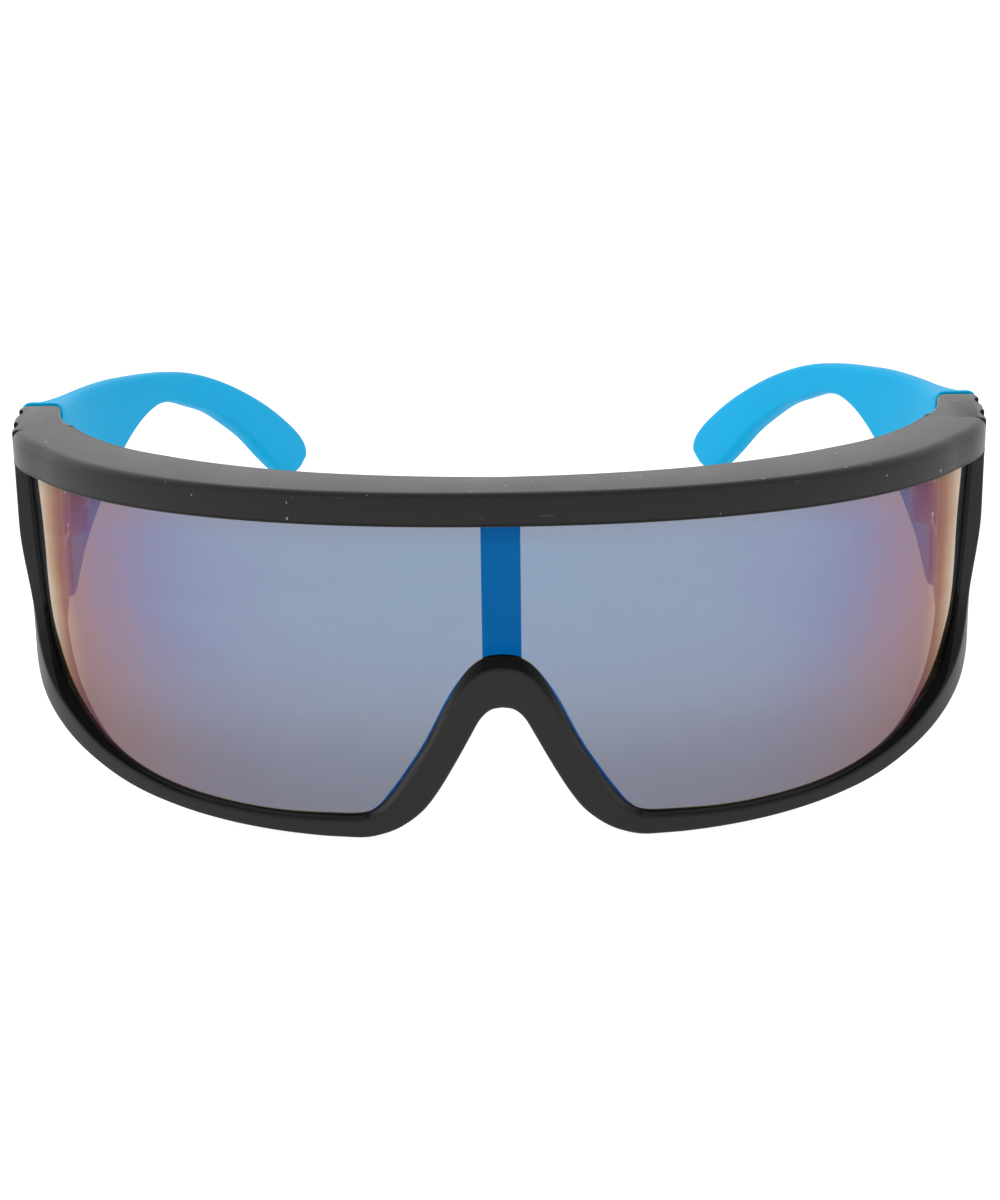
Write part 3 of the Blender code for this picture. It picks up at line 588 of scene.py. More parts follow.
def strut_material():
    """Smooth black plastic strap."""
    nodes = Nodes("strut_black")
    cloud = nodes.noise(5.0, detail=3.0)
    nodes.feed("Base Color", nodes.mixed(cloud, (0.006, 0.006, 0.0065), (0.01, 0.01, 0.011)))
    nodes.feed("Roughness", nodes.ranged(cloud, (0.3, 0.7), (0.3, 0.38)))
    nodes.bump(nodes.noise(0.3, detail=2.0), 0.006)
    return nodes.material


def temple_material():
    """Bright blue satin plastic with a tinted gloss and the cloudy tone of a through-coloured moulding."""
    nodes = Nodes("temple_blue")
    cloud = nodes.noise(14.0, detail=3.0, stretch=(1.0, 0.4, 1.0))
    grain = nodes.noise(0.14, detail=2.0)
    nodes.feed("Base Color", nodes.mixed(cloud, (0.0, 0.295, 0.55), (0.0, 0.335, 0.6)))
    nodes.feed("Roughness", nodes.ranged(cloud, (0.3, 0.7), (0.3, 0.38)))
    nodes.bump(grain, 0.006)
    nodes.set(Specular_IOR_Level=0.0, Metallic=0.12, Sheen_Weight=0.12, Sheen_Roughness=0.3)
    return nodes.material


HINGE_TONE = (0.2, 0.2, 0.21)
SCREW_TONE = (0.6, 0.6, 0.6)


def steel_material(name, tone, size):
    """Nickel-plated steel: faint brushing of this size in millimetres, small stains in the plating."""
    nodes = Nodes(name)
    brushing = nodes.noise(size, detail=3.0, stretch=(1.0, 1.0, 9.0))
    stain = nodes.noise(1.6, detail=4.0)
    shaded = tuple(0.72 * part for part in tone)
    nodes.feed("Base Color", nodes.mixed(nodes.ranged(stain, (0.45, 0.75), (0.0, 1.0)), tone, shaded))
    nodes.feed("Roughness", nodes.ranged(brushing, (0.3, 0.7), (0.22, 0.36)))
    nodes.bump(brushing, 0.004)
    nodes.set(Metallic=1.0)
    return nodes.material


# What the coated lens sends back and lets through, by how far a ray leans from head-on (0) to edge-on (1).
# Painted shade: from the lowest height up to the second, and a little from the third up to the brow, the lens
# is darkened and turned towards violet.
MIRROR_STOPS = (
    (0.0, (0.0, 0.092, 0.27)),
    (0.08, (0.0, 0.084, 0.265)),
    (0.21, (0.008, 0.05, 0.24)),
    (0.28, (0.062, 0.05, 0.188)),
    (0.37, (0.125, 0.066, 0.14)),
    (0.47, (0.185, 0.082, 0.1)),
    (0.58, (0.31, 0.18, 0.13)),
    (0.67, (0.43, 0.33, 0.255)),
    (0.82, (0.6, 0.54, 0.46)),
    (1.0, (0.85, 0.8, 0.72)),
)
TINT_STOPS = (
    (0.0, (0.235, 0.21, 0.135)),
    (0.15, (0.235, 0.2, 0.12)),
    (0.37, (0.155, 0.128, 0.098)),
    (0.58, (0.15, 0.145, 0.135)),
    (0.82, (0.12, 0.135, 0.13)),
    (1.0, (0.0, 0.0, 0.0)),
)
SHADE_DEEPEST_Z = 0.0
SHADE_END_Z = 42.0
BROW_SHADE_START_Z = 46.0


def lens_material():
    """Tinted lens under an interference mirror coat.

    The coat turns from blue through violet to rose as it leans away. Shade is painted on it towards the lower
    edge
    and a little under the brow: there it turns violet sooner, reflects less and, at the lower edge, lets less
    through.
    """
    nodes = Nodes("lens_mirror_blue")
    leaning = nodes.new("ShaderNodeLayerWeight")
    leaning.inputs["Blend"].default_value = 0.5
    streak = nodes.noise(16.0, detail=3.0, stretch=(1.0, 1.0, 3.0))
    wander = nodes.ranged(streak, (0.25, 0.75), (-1.0, 1.0))
    lean = nodes.added(wander, leaning.outputs["Facing"], by=0.012)
    heights = nodes.new("ShaderNodeSeparateXYZ")
    nodes.link(nodes.place(), heights.inputs[0])
    # Painted shade: low darkens the lens towards its lower edge, high a little under the brow
    low = nodes.ranged(heights.outputs["Z"], (SHADE_DEEPEST_Z * MM, SHADE_END_Z * MM), (1.0, 0.0))
    high = nodes.ranged(heights.outputs["Z"], (BROW_SHADE_START_Z * MM, BROW_BOTTOM_Z * MM), (0.0, 0.5))
    painted_shade = nodes.added(low, high)
    full = nodes.ramp(nodes.added(painted_shade, lean, by=0.07), MIRROR_STOPS)
    lens_shade_black = (0.0, 0.0, 0.0)
    sent_back = nodes.mixed(nodes.ranged(painted_shade, (0.0, 1.0), (0.0, 0.4)), full, lens_shade_black)
    mirror_shader = nodes.new("ShaderNodeBsdfAnisotropic")
    nodes.link(sent_back, mirror_shader.inputs["Color"])
    haze = nodes.noise(2.2, detail=4.0)
    nodes.link(nodes.ranged(haze, (0.3, 0.7), (0.05, 0.09)), mirror_shader.inputs["Roughness"])
    clear = nodes.ramp(lean, TINT_STOPS)
    # Painted shade: what the lens lets through is darkened towards its lower edge
    let_through = nodes.mixed(nodes.ranged(low, (0.4, 1.0), (0.0, 0.2)), clear, lens_shade_black)
    tint = nodes.new("ShaderNodeBsdfTransparent")
    nodes.link(let_through, tint.inputs["Color"])
    both = nodes.new("ShaderNodeAddShader")
    nodes.link(tint.outputs[0], both.inputs[0])
    nodes.link(mirror_shader.outputs[0], both.inputs[1])
    nodes.link(both.outputs[0], nodes.output.inputs["Surface"])
    nodes.tree.nodes.remove(nodes.shader)
    return nodes.material


def lens_back_material():
    """The uncoated inner face and edge: clear, with a weak polished reflection."""
    nodes = Nodes("lens_inner_face")
    leaning = nodes.new("ShaderNodeLayerWeight")
    leaning.inputs["Blend"].default_value = 0.5
    steep = nodes.new("ShaderNodeMath", operation="POWER")
    nodes.link(leaning.outputs["Facing"], steep.inputs[0])
    steep.inputs[1].default_value = 5.0
    share = nodes.added(steep.outputs[0], nodes.level(0.04), by=0.9)
    haze = nodes.noise(2.2, detail=4.0)
    shine = nodes.new("ShaderNodeBsdfAnisotropic")
    shine.inputs["Color"].default_value = (0.8, 0.78, 0.74, 1.0)
    nodes.link(nodes.ranged(haze, (0.3, 0.7), (0.05, 0.1)), shine.inputs["Roughness"])
    clear = nodes.new("ShaderNodeBsdfTransparent")
    clear.inputs["Color"].default_value = (0.97, 0.97, 0.97, 1.0)
    both = nodes.new("ShaderNodeMixShader")
    nodes.link(share, both.inputs["Fac"])
    nodes.link(clear.outputs[0], both.inputs[1])
    nodes.link(shine.outputs[0], both.inputs[2])
    nodes.link(both.outputs[0], nodes.output.inputs["Surface"])
    nodes.tree.nodes.remove(nodes.shader)
    return nodes.material


# ---------------------------------------------------------------- front

def brow_depth(run):
    runs, depths = zip(*BROW_DEPTHS)
    return float(np.interp(run, runs, depths))


def make_brow(paint, edge_shade_paint):
    """The bar over the lens: a solid moulding whose front edge softens towards its ends."""
    rings = []
    least, most = BROW_EDGE
    groove_top = BROW_BOTTOM_Z + BROW_GROOVE
    for i in range(BROW_STATIONS + 1):
        run = BROW_END_RUN * i / BROW_STATIONS
        soft = least + (most - least) * smooth_step(run / BROW_END_RUN, *BROW_EDGE_SHARES)
        front = -flare(run, TOP_Z)
        back = brow_depth(run)
        out = lens_flare(run, LENS_TOP_Z)
        outline = soft_outline((
            (front, BROW_BOTTOM_Z, 0.6, 4),
            (GROOVE_FRONT - out, BROW_BOTTOM_Z, 0.15, 2),
            (GROOVE_FRONT - out, groove_top, 0.0, 0),
            (GROOVE_BACK - out, groove_top, 0.0, 0),
            (GROOVE_BACK - out, BROW_BOTTOM_Z, 0.15, 2),
            (back, BROW_BOTTOM_Z, 0.8, 4),
            (back, TOP_Z, 0.9, 5),
            (front, TOP_Z, soft, 9),
        ))
        rings.append([on_wrap(run, depth, height) for depth, height in outline])
    # The roundings of the lower front edge and of the upper back edge, which take the darker grey as painted
    # shade
    strips = len(rings[0])
    shaded_strips = (*range(0, 4), *range(strips - 15, strips - 11))
    data = loft_mesh("brow_moulding", rings, open_start=True, second=shaded_strips)
    brow = add_object("brow_moulding", data, [paint, edge_shade_paint])
    mirror(brow)
    half = (STRUT_HIGH.x - STRUT_LOW.x) / 2 + SEAM
    socket = box_cutter(
        "strut_socket", (-half, STRUT_LOW.y - SEAM, BROW_BOTTOM_Z - 1.0),
        (half, STRUT_HIGH.y + SEAM, STRUT_HIGH.z + SEAM)
    )
    settle(brow, [socket])
    stand_for(brow, "brow_bar", "front")


def rim_stations():
    """Rows of the rim at every step; the table keeps the lowest ones flat."""
    stations = through_points(RIM_ROWS, STEPS_PER_RIM_ROW)
    stations[:, [3, 5]] = np.maximum(stations[:, [3, 5]], 0.0)
    return stations


def groove_floor(station):
    """The groove's depth from the opening's edge: deeper where the wall behind the lens stands far back."""
    return max(RIM_GROOVE, LIP_SHARE * station[5])


def section_outline(corners, share):
    """A rim section's outline, with one more point on the bevel where its polish ends."""
    outline = soft_outline(corners)
    start, end = outline[3:5]
    outline.insert(4, start + share * (end - start))
    return outline


def rim_ring(station):
    """A section across the rim as wrapped points, from the lens opening's edge over the face to the back."""
    inner = station[0:2]
    outer = station[2:4]
    bevel, wall = station[4:6]
    width = float(np.linalg.norm(outer - inner))
    across = (outer - inner) / width
    edge = min(RIM_EDGE, 0.26 * width)
    span = width - edge - wall
    floor = groove_floor(station)

    def face(distance):
        run, height = inner + across * distance
        return RIM_FACE * (1 - smooth_step(run, *FACE_CHANGE_RUN)) - flare(run, height)

    def groove(distance, depth):
        run, height = inner + across * distance
        return distance, depth - lens_flare(run, height)

    middle = [bevel + (width - bevel) * share for share in FACE_SHARES]
    full, least = POLISH_SHARES
    outline = section_outline((
        (*groove(0.0, GROOVE_FRONT), 0.0, 0),
        (*groove(0.0, GROOVE_FRONT - BEVEL_START), 0.1, 2),
        (bevel, face(bevel), 0.3, 3),
        (middle[0], face(middle[0]), 0.0, 0),
        (middle[1], face(middle[1]), 0.0, 0),
        (width, face(width), edge, 6),
        (width, RIM_BACK, edge, 6),
        *((wall + share * span, RIM_BACK, 0.0, 0) for share in BACK_SHARES),
        (wall, RIM_BACK, 0.25, 3),
        (*groove(LIP_SHARE * wall, GROOVE_BACK), 0.0, 0),
        (*groove(floor, GROOVE_BACK), 0.0, 0),
        (*groove(floor, GROOVE_FRONT), 0.0, 0),
    ), full - (full - least) * smooth_step(inner[0], *POLISH_CHANGE_RUN))
    ring = []
    for distance, depth in outline:
        run, height = inner + across * distance
        ring.append(on_wrap(max(run, 0.0), depth, height))
    return ring


def end_ring(corners, height):
    """A level section of the flange's end, from corners of (run, depth, reach, steps)."""
    return [on_wrap(run, depth, height) for run, depth in section_outline(corners, POLISH_SHARES[1])]


def end_rings(last):
    """Level sections above the rim's last row: the screw tab under the brow, then the end block behind it."""
    inner_run, floor, outer_run, _, bevel, _ = last
    face = -SIDE_FLARE
    middle = [inner_run + bevel + (outer_run - inner_run - bevel) * share for share in FACE_SHARES]
    inside = [(run, brow_depth(run)) for run in END_INNER_RUNS]

    def tab(height):
        out = lens_flare(inner_run, height)
        return end_ring((
            (inner_run, GROOVE_FRONT - out, 0.0, 0),
            (inner_run, GROOVE_FRONT - BEVEL_START - out, 0.1, 2),
            (inner_run + bevel, face, 0.3, 3),
            (middle[0], face, 0.0, 0),
            (middle[1], face, 0.0, 0),
            (outer_run, face, RIM_EDGE, 6),
            (outer_run, RIM_BACK, RIM_EDGE, 6),
            *((run, depth, 0.0, 0) for run, depth in inside),
            (TAB_BACK_RUN, TAB_BACK, 0.0, 0),
            (TAB_FRONT_RUN, TAB_BACK, 0.0, 0),
            (TAB_FRONT_RUN, GROOVE_BACK + 0.3, 0.0, 3),
            (inner_run, GROOVE_BACK - out, 0.0, 0),
            (inner_run + RIM_GROOVE, GROOVE_BACK - out, 0.0, 0),
            (inner_run + RIM_GROOVE, GROOVE_FRONT - out, 0.0, 0),
        ), height)

    def block(height, inset):
        front = BLOCK_FRONT_RUN
        back = BLOCK_BACK_RUN - inset
        inner = brow_depth(front) - inset
        outside = face + 2 * inset
        levels = np.linspace(inner, outside, 8)
        return end_ring((
            (front, levels[6], 0.0, 0),
            (front, levels[7] + 0.4, 0.0, 2),
            (front, outside, 0.1, 3),
            (middle[0], outside, 0.0, 0),
            (middle[1], outside, 0.0, 0),
            (back, outside, RIM_EDGE, 6),
            (back, RIM_BACK - inset, RIM_EDGE, 6),
            *((run, depth - inset, 0.0, 0) for run, depth in inside),
            (front + 0.5, inner - 0.1, 0.0, 0),
            (front, levels[1], 0.0, 0),
            (front, levels[2], 0.0, 3),
            (front, levels[3], 0.0, 0),
            (front, levels[4], 0.0, 0),
            (front, levels[5], 0.0, 0),
        ), height)

    rings = [tab(floor), tab(FRAME_TOP_Z), block(FRAME_TOP_Z, 0.0)]
    for angle in EDGE_TURN:
        height = TOP_Z - BLOCK_ROUNDING * (1 - math.sin(angle))
        rings.append(block(height, BLOCK_ROUNDING * (1 - math.cos(angle))))
    return rings


def make_front_frame(satin, gloss, paint, groove_shade_black):
    """Lower rim, nose arch, side flanges and ribbed end blocks in one moulding.

    The end blocks have the brow bar's soft-touch paint.
    """
    stations = rim_stations()
    rings = [rim_ring(station) for station in stations]
    rings += end_rings(stations[-1])
    data = loft_mesh("front_moulding", rings, open_start=True, second=POLISHED_STRIPS)
    for face in data.polygons:
        if face.center.z > FRAME_TOP_Z * MM:
            face.material_index = 2
    moulding = add_object("front_moulding", data, [satin, gloss, paint])
    mirror(moulding)
    cutters = []
    for label, side in (("right", 1), ("left", -1)):
        for i, run in enumerate(RIB_GROOVE_RUNS):
            start = on_wrap(run, -SIDE_FLARE - RIB_GROOVE_OFFSET, RIB_BOTTOM_Z)
            start.x *= side
            groove = rod_cutter(
                f"rib_{label}_{i}", start, (0, 0, 1), RIB_GROOVE_RADIUS, RIB_GROOVE_LENGTH
            )
            # The groove cutters give the grooves a black painted as their shade
            groove.data.materials.append(groove_shade_black)
            cutters.append(groove)
        cutters.append(hinge_pocket("frame_pocket_" + label, side, -1, FRAME_PLATE_OUTER))
        cutters += screw_holes(
            "frame_hole_" + label, side, -1, FRAME_PLATE_OUTER - HOLE_OVERLAP, LEAF_SCREW[1]
        )
    settle(moulding, cutters)
    stand_for(moulding, "front_frame", "front")


def make_lens(coated, plain):
    """The shield lens, seated in the rim's groove and in the brow's."""
    stations = rim_stations()
    inner = stations[:, 0:2]
    across = stations[:, 2:4] - inner
    reach = np.array([LENS_SEAT + groove_floor(station) - RIM_GROOVE for station in stations])
    seat = inner + across * (reach / np.linalg.norm(across, axis=1))[:, None]
    order = np.argsort(seat[:, 0])
    runs = np.maximum(seat[order, 0], 0.0)
    back = LENS_FRONT + LENS_THICKNESS
    rings = []
    for run in np.linspace(0.0, LENS_END_RUN, LENS_STATIONS):
        low = float(np.interp(run, runs, seat[order, 1]))
        section = []
        for depth, height in ((LENS_FRONT, low), (back, low), (back, LENS_TOP_Z), (LENS_FRONT, LENS_TOP_Z)):
            section.append((depth - lens_flare(run, height), height))
        rings.append([on_wrap(run, depth, height) for depth, height in section])
    data = loft_mesh("lens_shield", rings, open_start=True, second=range(0, 3))
    lens = add_object("lens_shield", data, [coated, plain])
    mirror(lens)
    settle(lens)
    stand_for(lens, "shield_lens", "front")


def make_strut(plastic):
    """The upright strap behind the lens, with eased edges."""
    low, high = STRUT_LOW, STRUT_HIGH
    rings = []
    edge = STRUT_EDGE
    for height, inset in ((low.z, edge), (low.z + edge, 0.0), (high.z - edge, 0.0), (high.z, edge)):
        outline = soft_outline((
            (low.x + inset, low.y + inset, STRUT_CORNER, 4),
            (high.x - inset, low.y + inset, STRUT_CORNER, 4),
            (high.x - inset, high.y - inset, STRUT_CORNER, 4),
            (low.x + inset, high.y - inset, STRUT_CORNER, 4),
        ))
        rings.append([Vector((x, y, height)) * MM for x, y in outline])
    strut = add_object("strut_strap", loft_mesh("strut_strap", rings), [plastic])
    stand_for(strut, "centre_strut", "front")


# ---------------------------------------------------------------- temples

def temple_point(side, y, z, depth):
    """A point on a temple: y and z in side view, and its depth in from the outer face."""
    share = max(y - TEMPLE_FRONT, 0.0) / TEMPLE_SWEEP_RUN
    x = TEMPLE_OUTER_X - TEMPLE_SWEEP * share**TEMPLE_SWEEP_POWER
    slope = TEMPLE_SWEEP * TEMPLE_SWEEP_POWER / TEMPLE_SWEEP_RUN * share ** (TEMPLE_SWEEP_POWER - 1)
    scale = math.hypot(1.0, slope)
    return Vector((side * (x - depth / scale), FRONT_Y + y - depth * slope / scale, z)) * MM


def temple_ring(side, row, inset=0.0):
    """A rounded bar section from a temple's top edge to its bottom edge."""
    top = np.array(row[0:2])
    bottom = np.array(row[2:4])
    thickness = row[4]
    width = float(np.linalg.norm(bottom - top))
    down = (bottom - top) / width
    reach = min(TEMPLE_EDGE_SHARE * thickness, TEMPLE_EDGE_MOST) - inset
    outline = soft_outline((
        (inset, inset, reach, 6),
        (inset, thickness - inset, reach, 6),
        (width - inset, thickness - inset, reach, 6),
        (width - inset, inset, reach, 6),
    ))
    return [temple_point(side, *(top + down * distance), depth) for distance, depth in outline]


def make_temple(label, side, plastic):
    """An arm: tall at the hinge, arched to a slim bar, and curved down and in behind the ear."""
    rows = through_points(TEMPLE_ROWS, TEMPLE_STEPS_PER_ROW)
    rows[:, 3] = np.maximum(rows[:, 3], 0.0)
    front_rows = rows[: 3 * TEMPLE_STEPS_PER_ROW]
    rings = []
    for angle in EDGE_TURN:
        place = TEMPLE_FRONT + BUTT_EDGE * (1 - math.cos(angle))
        row = [np.interp(place, front_rows[:, 0], column) for column in front_rows.T]
        rings.append(temple_ring(side, row, BUTT_EDGE * (1 - math.sin(angle))))
    rings += [temple_ring(side, row) for row in rows if row[0] > TEMPLE_FRONT + BUTT_EDGE]
    name = "arm_" + label
    arm = add_object(name, loft_mesh(name, rings), [plastic])
    cutters = [hinge_pocket("temple_pocket_" + label, side, 1, TEMPLE_PLATE_OUTER)]
    cutters += screw_holes(
        "temple_hole_" + label, side, 1, TEMPLE_PLATE_OUTER - HOLE_OVERLAP, LEAF_SCREW[1]
    )
    settle(arm, cutters)
    stand_for(arm, "temple_" + label, label + "_arm")


# ---------------------------------------------------------------- hinges

def hinge_axis(side):
    return Vector((side * HINGE.x, HINGE.y, HINGE.z))


def hinge_pocket(name, side, back, plate_outer):
    """The recess for a hinge leaf; back is -1 for the frame's and 1 for the temple's."""
    axis = hinge_axis(side)
    x = sorted((axis.x + side * (plate_outer + SEAM), axis.x - side * BARREL_RADIUS))
    y = sorted((axis.y - back * POCKET_REACH, axis.y + back * (PLATE_END + SEAM)))
    height = HINGE_HEIGHT / 2 + SEAM
    return box_cutter(name, (x[0], y[0], axis.z - height), (x[1], y[1], axis.z + height))


def leaf_screw_place(side, back, out, height):
    """A place on a leaf screw's line: this far out from the pin's axis, and this high above its middle."""
    return hinge_axis(side) + Vector((side * out, back * LEAF_SCREW_Y, height))


def screw_holes(name, side, back, start_out, length):
    """The two holes for a leaf's screws, from this far out from the pin's axis."""
    holes = []
    for level in (-1, 1):
        start = leaf_screw_place(side, back, start_out, level * LEAF_SCREW_SPREAD)
        holes.append(rod_cutter(f"{name}_{level}", start * MM, (side, 0, 0), SCREW_HOLE_RADIUS, length))
    return holes


def make_leaf(name, side, back, plate_outer, steel):
    """A hinge leaf: plate and barrel drawn in plan, raised over the hinge's height, with its knuckles cut."""
    inner = plate_outer - PLATE_THICKNESS
    outline = [(inner, PLATE_END), (plate_outer, PLATE_END), (plate_outer, PLATE_START)]
    for i in range(ROUND_STEPS + 1):
        angle = -math.radians(BARREL_TURN) * i / ROUND_STEPS
        outline.append((BARREL_RADIUS * math.cos(angle), BARREL_RADIUS * math.sin(angle)))
    outline.append((inner, PLATE_NECK))
    axis = hinge_axis(side)
    rings = []
    for level in (-1, 1):
        height = axis.z + level * HINGE_HEIGHT / 2
        rings.append([Vector((axis.x + side * x, axis.y + back * y, height)) * MM for x, y in outline])
    leaf = add_object(name, loft_mesh(name, rings), [steel])
    half = KNUCKLE_HEIGHT / 2
    end = HINGE_HEIGHT / 2 + HOLE_OVERLAP
    gaps = [(-half - HINGE_GAP, half + HINGE_GAP)] if back < 0 else [(-end, -half), (half, end)]
    foot = axis - Vector((0, 0, end))
    cutters = [rod_cutter(name + "_bore", foot * MM, (0, 0, 1), BORE_RADIUS, 2 * end)]
    x = sorted((axis.x - side * KNUCKLE_REACH, axis.x + side * (KNUCKLE_REACH + 1.0)))
    for i, (low, high) in enumerate(gaps):
        first = (x[0], axis.y - KNUCKLE_REACH, axis.z + low)
        second = (x[1], axis.y + KNUCKLE_REACH, axis.z + high)
        cutters.append(box_cutter(f"{name}_gap_{i}", first, second))
    cutters += screw_holes(name + "_hole", side, back, inner - HOLE_OVERLAP, 3 * HOLE_OVERLAP)
    settle(leaf, cutters)
    easing = leaf.modifiers.new("easing", "BEVEL")
    easing.width = PLATE_EDGE * MM
    easing.segments = 2
    easing.limit_method = "ANGLE"
    easing.angle_limit = math.radians(50)
    settle(leaf)
    return leaf


def make_screw(name, head_seat, direction, sizes, steel):
    """A pan-head screw with a cross recess: head_seat is the point under its head in millimetres."""
    shank_radius, shank_length, head_radius, head_height = sizes
    profile = [(0.0, head_height)]
    turns = 8
    for i in range(turns + 1):
        angle = math.pi / 2 * i / turns
        radius = head_radius * (0.45 + 0.55 * math.sin(angle))
        profile.append((radius, head_height * (0.35 + 0.65 * math.cos(angle))))
    profile += [
        (head_radius, 0.05),
        (head_radius - 0.05, 0.0),
        (shank_radius, 0.0),
        (shank_radius, 0.3 - shank_length),
        (shank_radius - 0.25, -shank_length),
        (0.0, -shank_length),
    ]
    mesh = bmesh.new()
    points = [mesh.verts.new((x * MM, 0.0, z * MM)) for x, z in profile]
    for first, second in zip(points, points[1:]):
        mesh.edges.new((first, second))
    screw = add_object(name, mesh_data(name, mesh), [steel])
    turn = screw.modifiers.new("turn", "SCREW")
    turn.axis = "Z"
    turn.steps = ROUND_STEPS
    turn.render_steps = ROUND_STEPS
    turn.use_merge_vertices = True
    turn.merge_threshold = MERGE
    reach = head_radius * 0.62
    floor = head_height * 0.4
    blade = 0.13 * head_radius
    low_corners = ((-reach, -blade, floor), (-blade, -reach, floor))
    high_corners = ((reach, blade, head_height + 1.0), (blade, reach, head_height + 1.0))
    recesses = [box_cutter(f"{name}_cross_{i}", low_corners[i], high_corners[i]) for i in (0, 1)]
    settle(screw, recesses)
    aim = Vector(direction).normalized()
    turned = (-aim).to_track_quat("Z", "Y").to_matrix().to_4x4()
    screw.data.transform(Matrix.Translation(Vector(head_seat) * MM) @ turned)
    return screw


def make_hinge(label, side, steel, screw_steel):
    """One side's hinge: two leaves, the screw that is its pin, and two screws in each leaf."""
    arm = label + "_arm"
    frame_leaf = make_leaf("leaf_front_" + label, side, -1, FRAME_PLATE_OUTER, steel)
    stand_for(frame_leaf, "hinge_frame_leaf_" + label, "front")
    temple_leaf = make_leaf("leaf_arm_" + label, side, 1, TEMPLE_PLATE_OUTER, steel)
    stand_for(temple_leaf, "hinge_temple_leaf_" + label, arm)
    seat = hinge_axis(side) + Vector((0.0, 0.0, HINGE_HEIGHT / 2))
    pin = make_screw("pin_screw_" + label, seat, (0, 0, -1), HINGE_SCREW, screw_steel)
    stand_for(pin, "hinge_screw_" + label, "front")
    leaves = (("frame", "front", -1, FRAME_PLATE_OUTER), ("temple", arm, 1, TEMPLE_PLATE_OUTER))
    for part, body, back, plate_outer in leaves:
        for level, height in (("lower", -LEAF_SCREW_SPREAD), ("upper", LEAF_SCREW_SPREAD)):
            name = f"fixing_{part}_{level}_{label}"
            seat = leaf_screw_place(side, back, plate_outer - PLATE_THICKNESS, height)
            screw = make_screw(name, seat, (side, 0, 0), LEAF_SCREW, screw_steel)
            stand_for(screw, f"{part}_leaf_screw_{level}_{label}", body)


def make_front_screws(screw_steel):
    """The screws that hold the brow to the frame's tabs and the strut to the nose arch."""
    seat = (0.0, STRUT_HIGH.y, STRUT_SCREW_Z)
    strut_screw = make_screw("fixing_strut", seat, (0, -1, 0), STRUT_SCREW, screw_steel)
    stand_for(strut_screw, "strut_screw", "front")
    for label, side in (("right", 1), ("left", -1)):
        seat = on_wrap(BROW_SCREW_RUN, BROW_SCREW_DEPTH, FRAME_TOP_Z - TAB_HEIGHT) / MM
        seat.x *= side
        screw = make_screw("fixing_brow_" + label, seat, (0, 0, 1), BROW_SCREW, screw_steel)
        stand_for(screw, "brow_screw_" + label, "front")


# ---------------------------------------------------------------- setting

CAMERA_TARGET = Vector((-0.18, FRONT_Y, 40.3))
CAMERA_DISTANCE = 450.0
CAMERA_ELEVATION = math.radians(21.5)
CAMERA_YAW = math.radians(0.06)
CAMERA_ROLL = math.radians(-0.77)
CAMERA_LENS = 90.57
FLOOR_RADIUS = 6000.0
FLOOR_GLOW = 0.92
# The dome's strength by direction: what it is along Y, and what Z and X multiply it by, each as the range
# of the direction's part and the range of strengths
DOME_ALONG_Y = ((-0.4, 0.8), (0.45, 1.5))
DOME_FACTORS = (
    ("Z", (0.6, 1.0), (1.0, 0.6)),
    ("X", (-1.0, -0.4), (3.5, 1.0)),
    ("X", (0.4, 1.0), (1.0, 2.4)),
)
PANEL_SIZE = (1400.0, 900.0)
PANEL_PLACE = (0.0, 250.0, 1300.0)
PANEL_WATTS = 4.0


def make_camera():
    data = bpy.data.cameras.new("camera")
    data.lens = CAMERA_LENS
    data.sensor_width = 36.0
    data.clip_start = 0.01
    data.clip_end = 50.0
    camera = bpy.data.objects.new("camera", data)
    bpy.context.scene.collection.objects.link(camera)
    reach = math.cos(CAMERA_ELEVATION)
    back = Vector((math.sin(CAMERA_YAW) * reach, -math.cos(CAMERA_YAW) * reach, math.sin(CAMERA_ELEVATION)))
    level = (-back).to_track_quat("-Z", "Y").to_matrix()
    camera.rotation_euler = (level @ Matrix.Rotation(CAMERA_ROLL, 3, "Z")).to_euler()
    camera.location = (CAMERA_TARGET + CAMERA_DISTANCE * back) * MM
    bpy.context.scene.camera = camera


def make_floor():
    """A wide white table that is lit from below as well, so the glasses throw hardly any shadow."""
    nodes = Nodes("floor_white")
    cloud = nodes.noise(400.0, detail=2.0)
    nodes.feed("Base Color", nodes.mixed(cloud, (0.28, 0.28, 0.28), (0.32, 0.32, 0.32)))
    nodes.set(Roughness=0.9, Specular_IOR_Level=0.0)
    nodes.set(Emission_Color=(1.0, 1.0, 1.0), Emission_Strength=FLOOR_GLOW)
    mesh = bmesh.new()
    bmesh.ops.create_circle(mesh, cap_ends=True, segments=96, radius=FLOOR_RADIUS * MM)
    floor = add_object("floor", mesh_data("floor", mesh), [nodes.material])


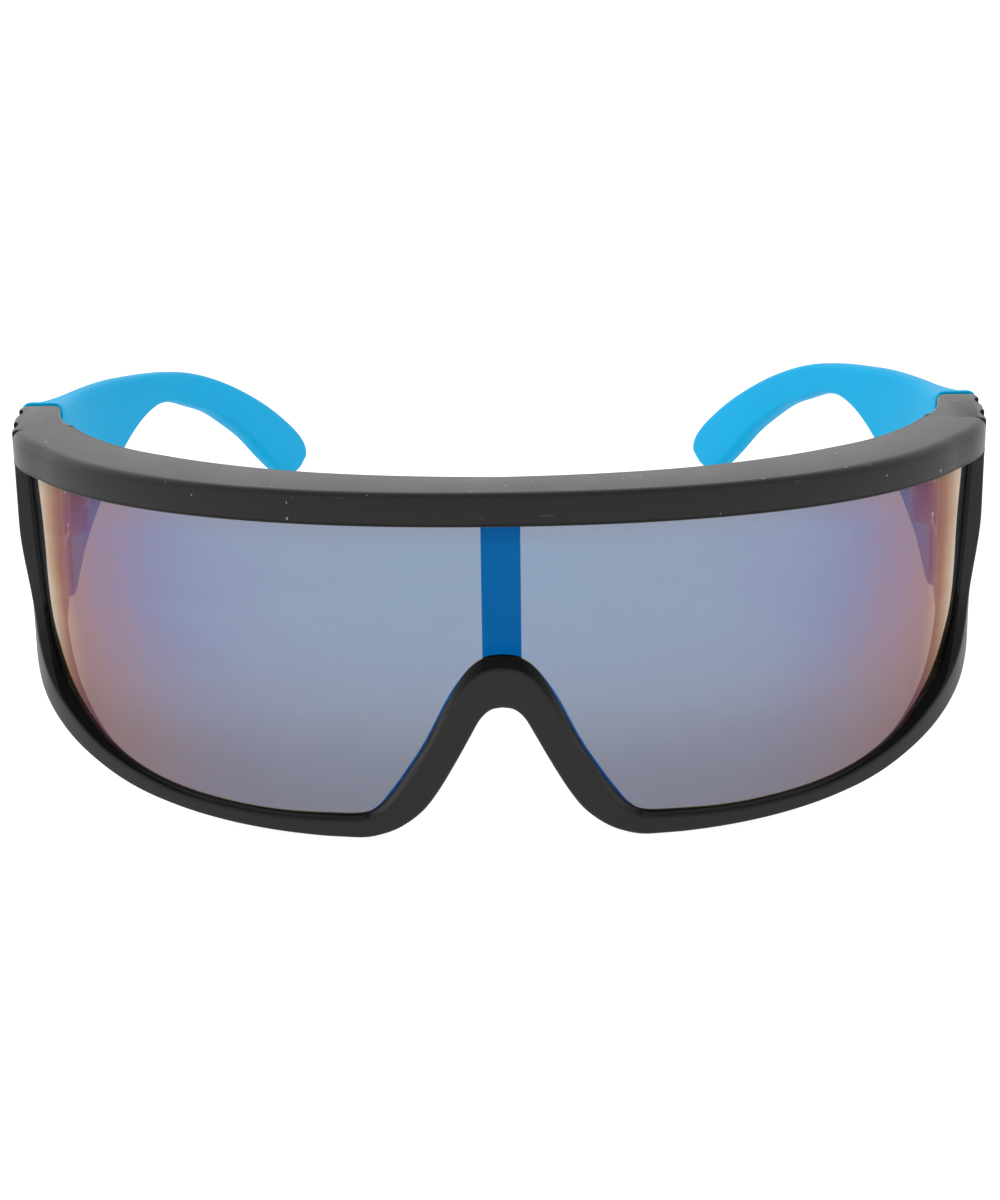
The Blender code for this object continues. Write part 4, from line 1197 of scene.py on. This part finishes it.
def make_light():
    """A soft studio: a bright dome, stronger behind and at both sides, and one large overhead panel."""
    world = bpy.data.worlds.new("studio")
    bpy.context.scene.world = world
    world.use_nodes = True
    tree = world.node_tree
    tree.nodes.clear()

    def new(kind, **settings):
        made = tree.nodes.new(kind)
        for key, value in settings.items():
            setattr(made, key, value)
        return made

    def ranged(value, source, target):
        made = new("ShaderNodeMapRange", interpolation_type="SMOOTHSTEP")
        for name, number in zip(("From Min", "From Max", "To Min", "To Max"), (*source, *target)):
            made.inputs[name].default_value = number
        tree.links.new(value, made.inputs["Value"])
        return made.outputs["Result"]

    parts = new("ShaderNodeSeparateXYZ")
    tree.links.new(new("ShaderNodeTexCoord").outputs["Generated"], parts.inputs[0])
    total = ranged(parts.outputs["Y"], *DOME_ALONG_Y)
    for part, source, target in DOME_FACTORS:
        product = new("ShaderNodeMath", operation="MULTIPLY")
        tree.links.new(total, product.inputs[0])
        tree.links.new(ranged(parts.outputs[part], source, target), product.inputs[1])
        total = product.outputs[0]
    background = new("ShaderNodeBackground")
    background.inputs["Color"].default_value = (1.0, 1.0, 1.0, 1.0)
    tree.links.new(total, background.inputs["Strength"])
    tree.links.new(background.outputs[0], new("ShaderNodeOutputWorld").inputs["Surface"])

    data = bpy.data.lights.new("panel", "AREA")
    data.shape = "RECTANGLE"
    data.size = PANEL_SIZE[0] * MM
    data.size_y = PANEL_SIZE[1] * MM
    data.energy = PANEL_WATTS
    panel = bpy.data.objects.new("panel", data)
    bpy.context.scene.collection.objects.link(panel)
    panel.location = Vector(PANEL_PLACE) * MM


# ---------------------------------------------------------------- the whole

def build():
    steel = steel_material("hinge_steel", HINGE_TONE, 0.25)
    screw_steel = steel_material("screw_steel", SCREW_TONE, 0.4)
    plastic = temple_material()
    paint = brow_material()
    make_brow(paint, brow_edge_shade_material())
    make_front_frame(frame_material(), gloss_material(), paint, groove_shade_material())
    make_lens(lens_material(), lens_back_material())
    make_strut(strut_material())
    for label, side in (("right", 1), ("left", -1)):
        make_temple(label, side, plastic)
        make_hinge(label, side, steel, screw_steel)
    make_front_screws(screw_steel)
    make_floor()
    make_light()
    make_camera()
    bpy.context.scene.view_settings.view_transform = "Standard"


build()
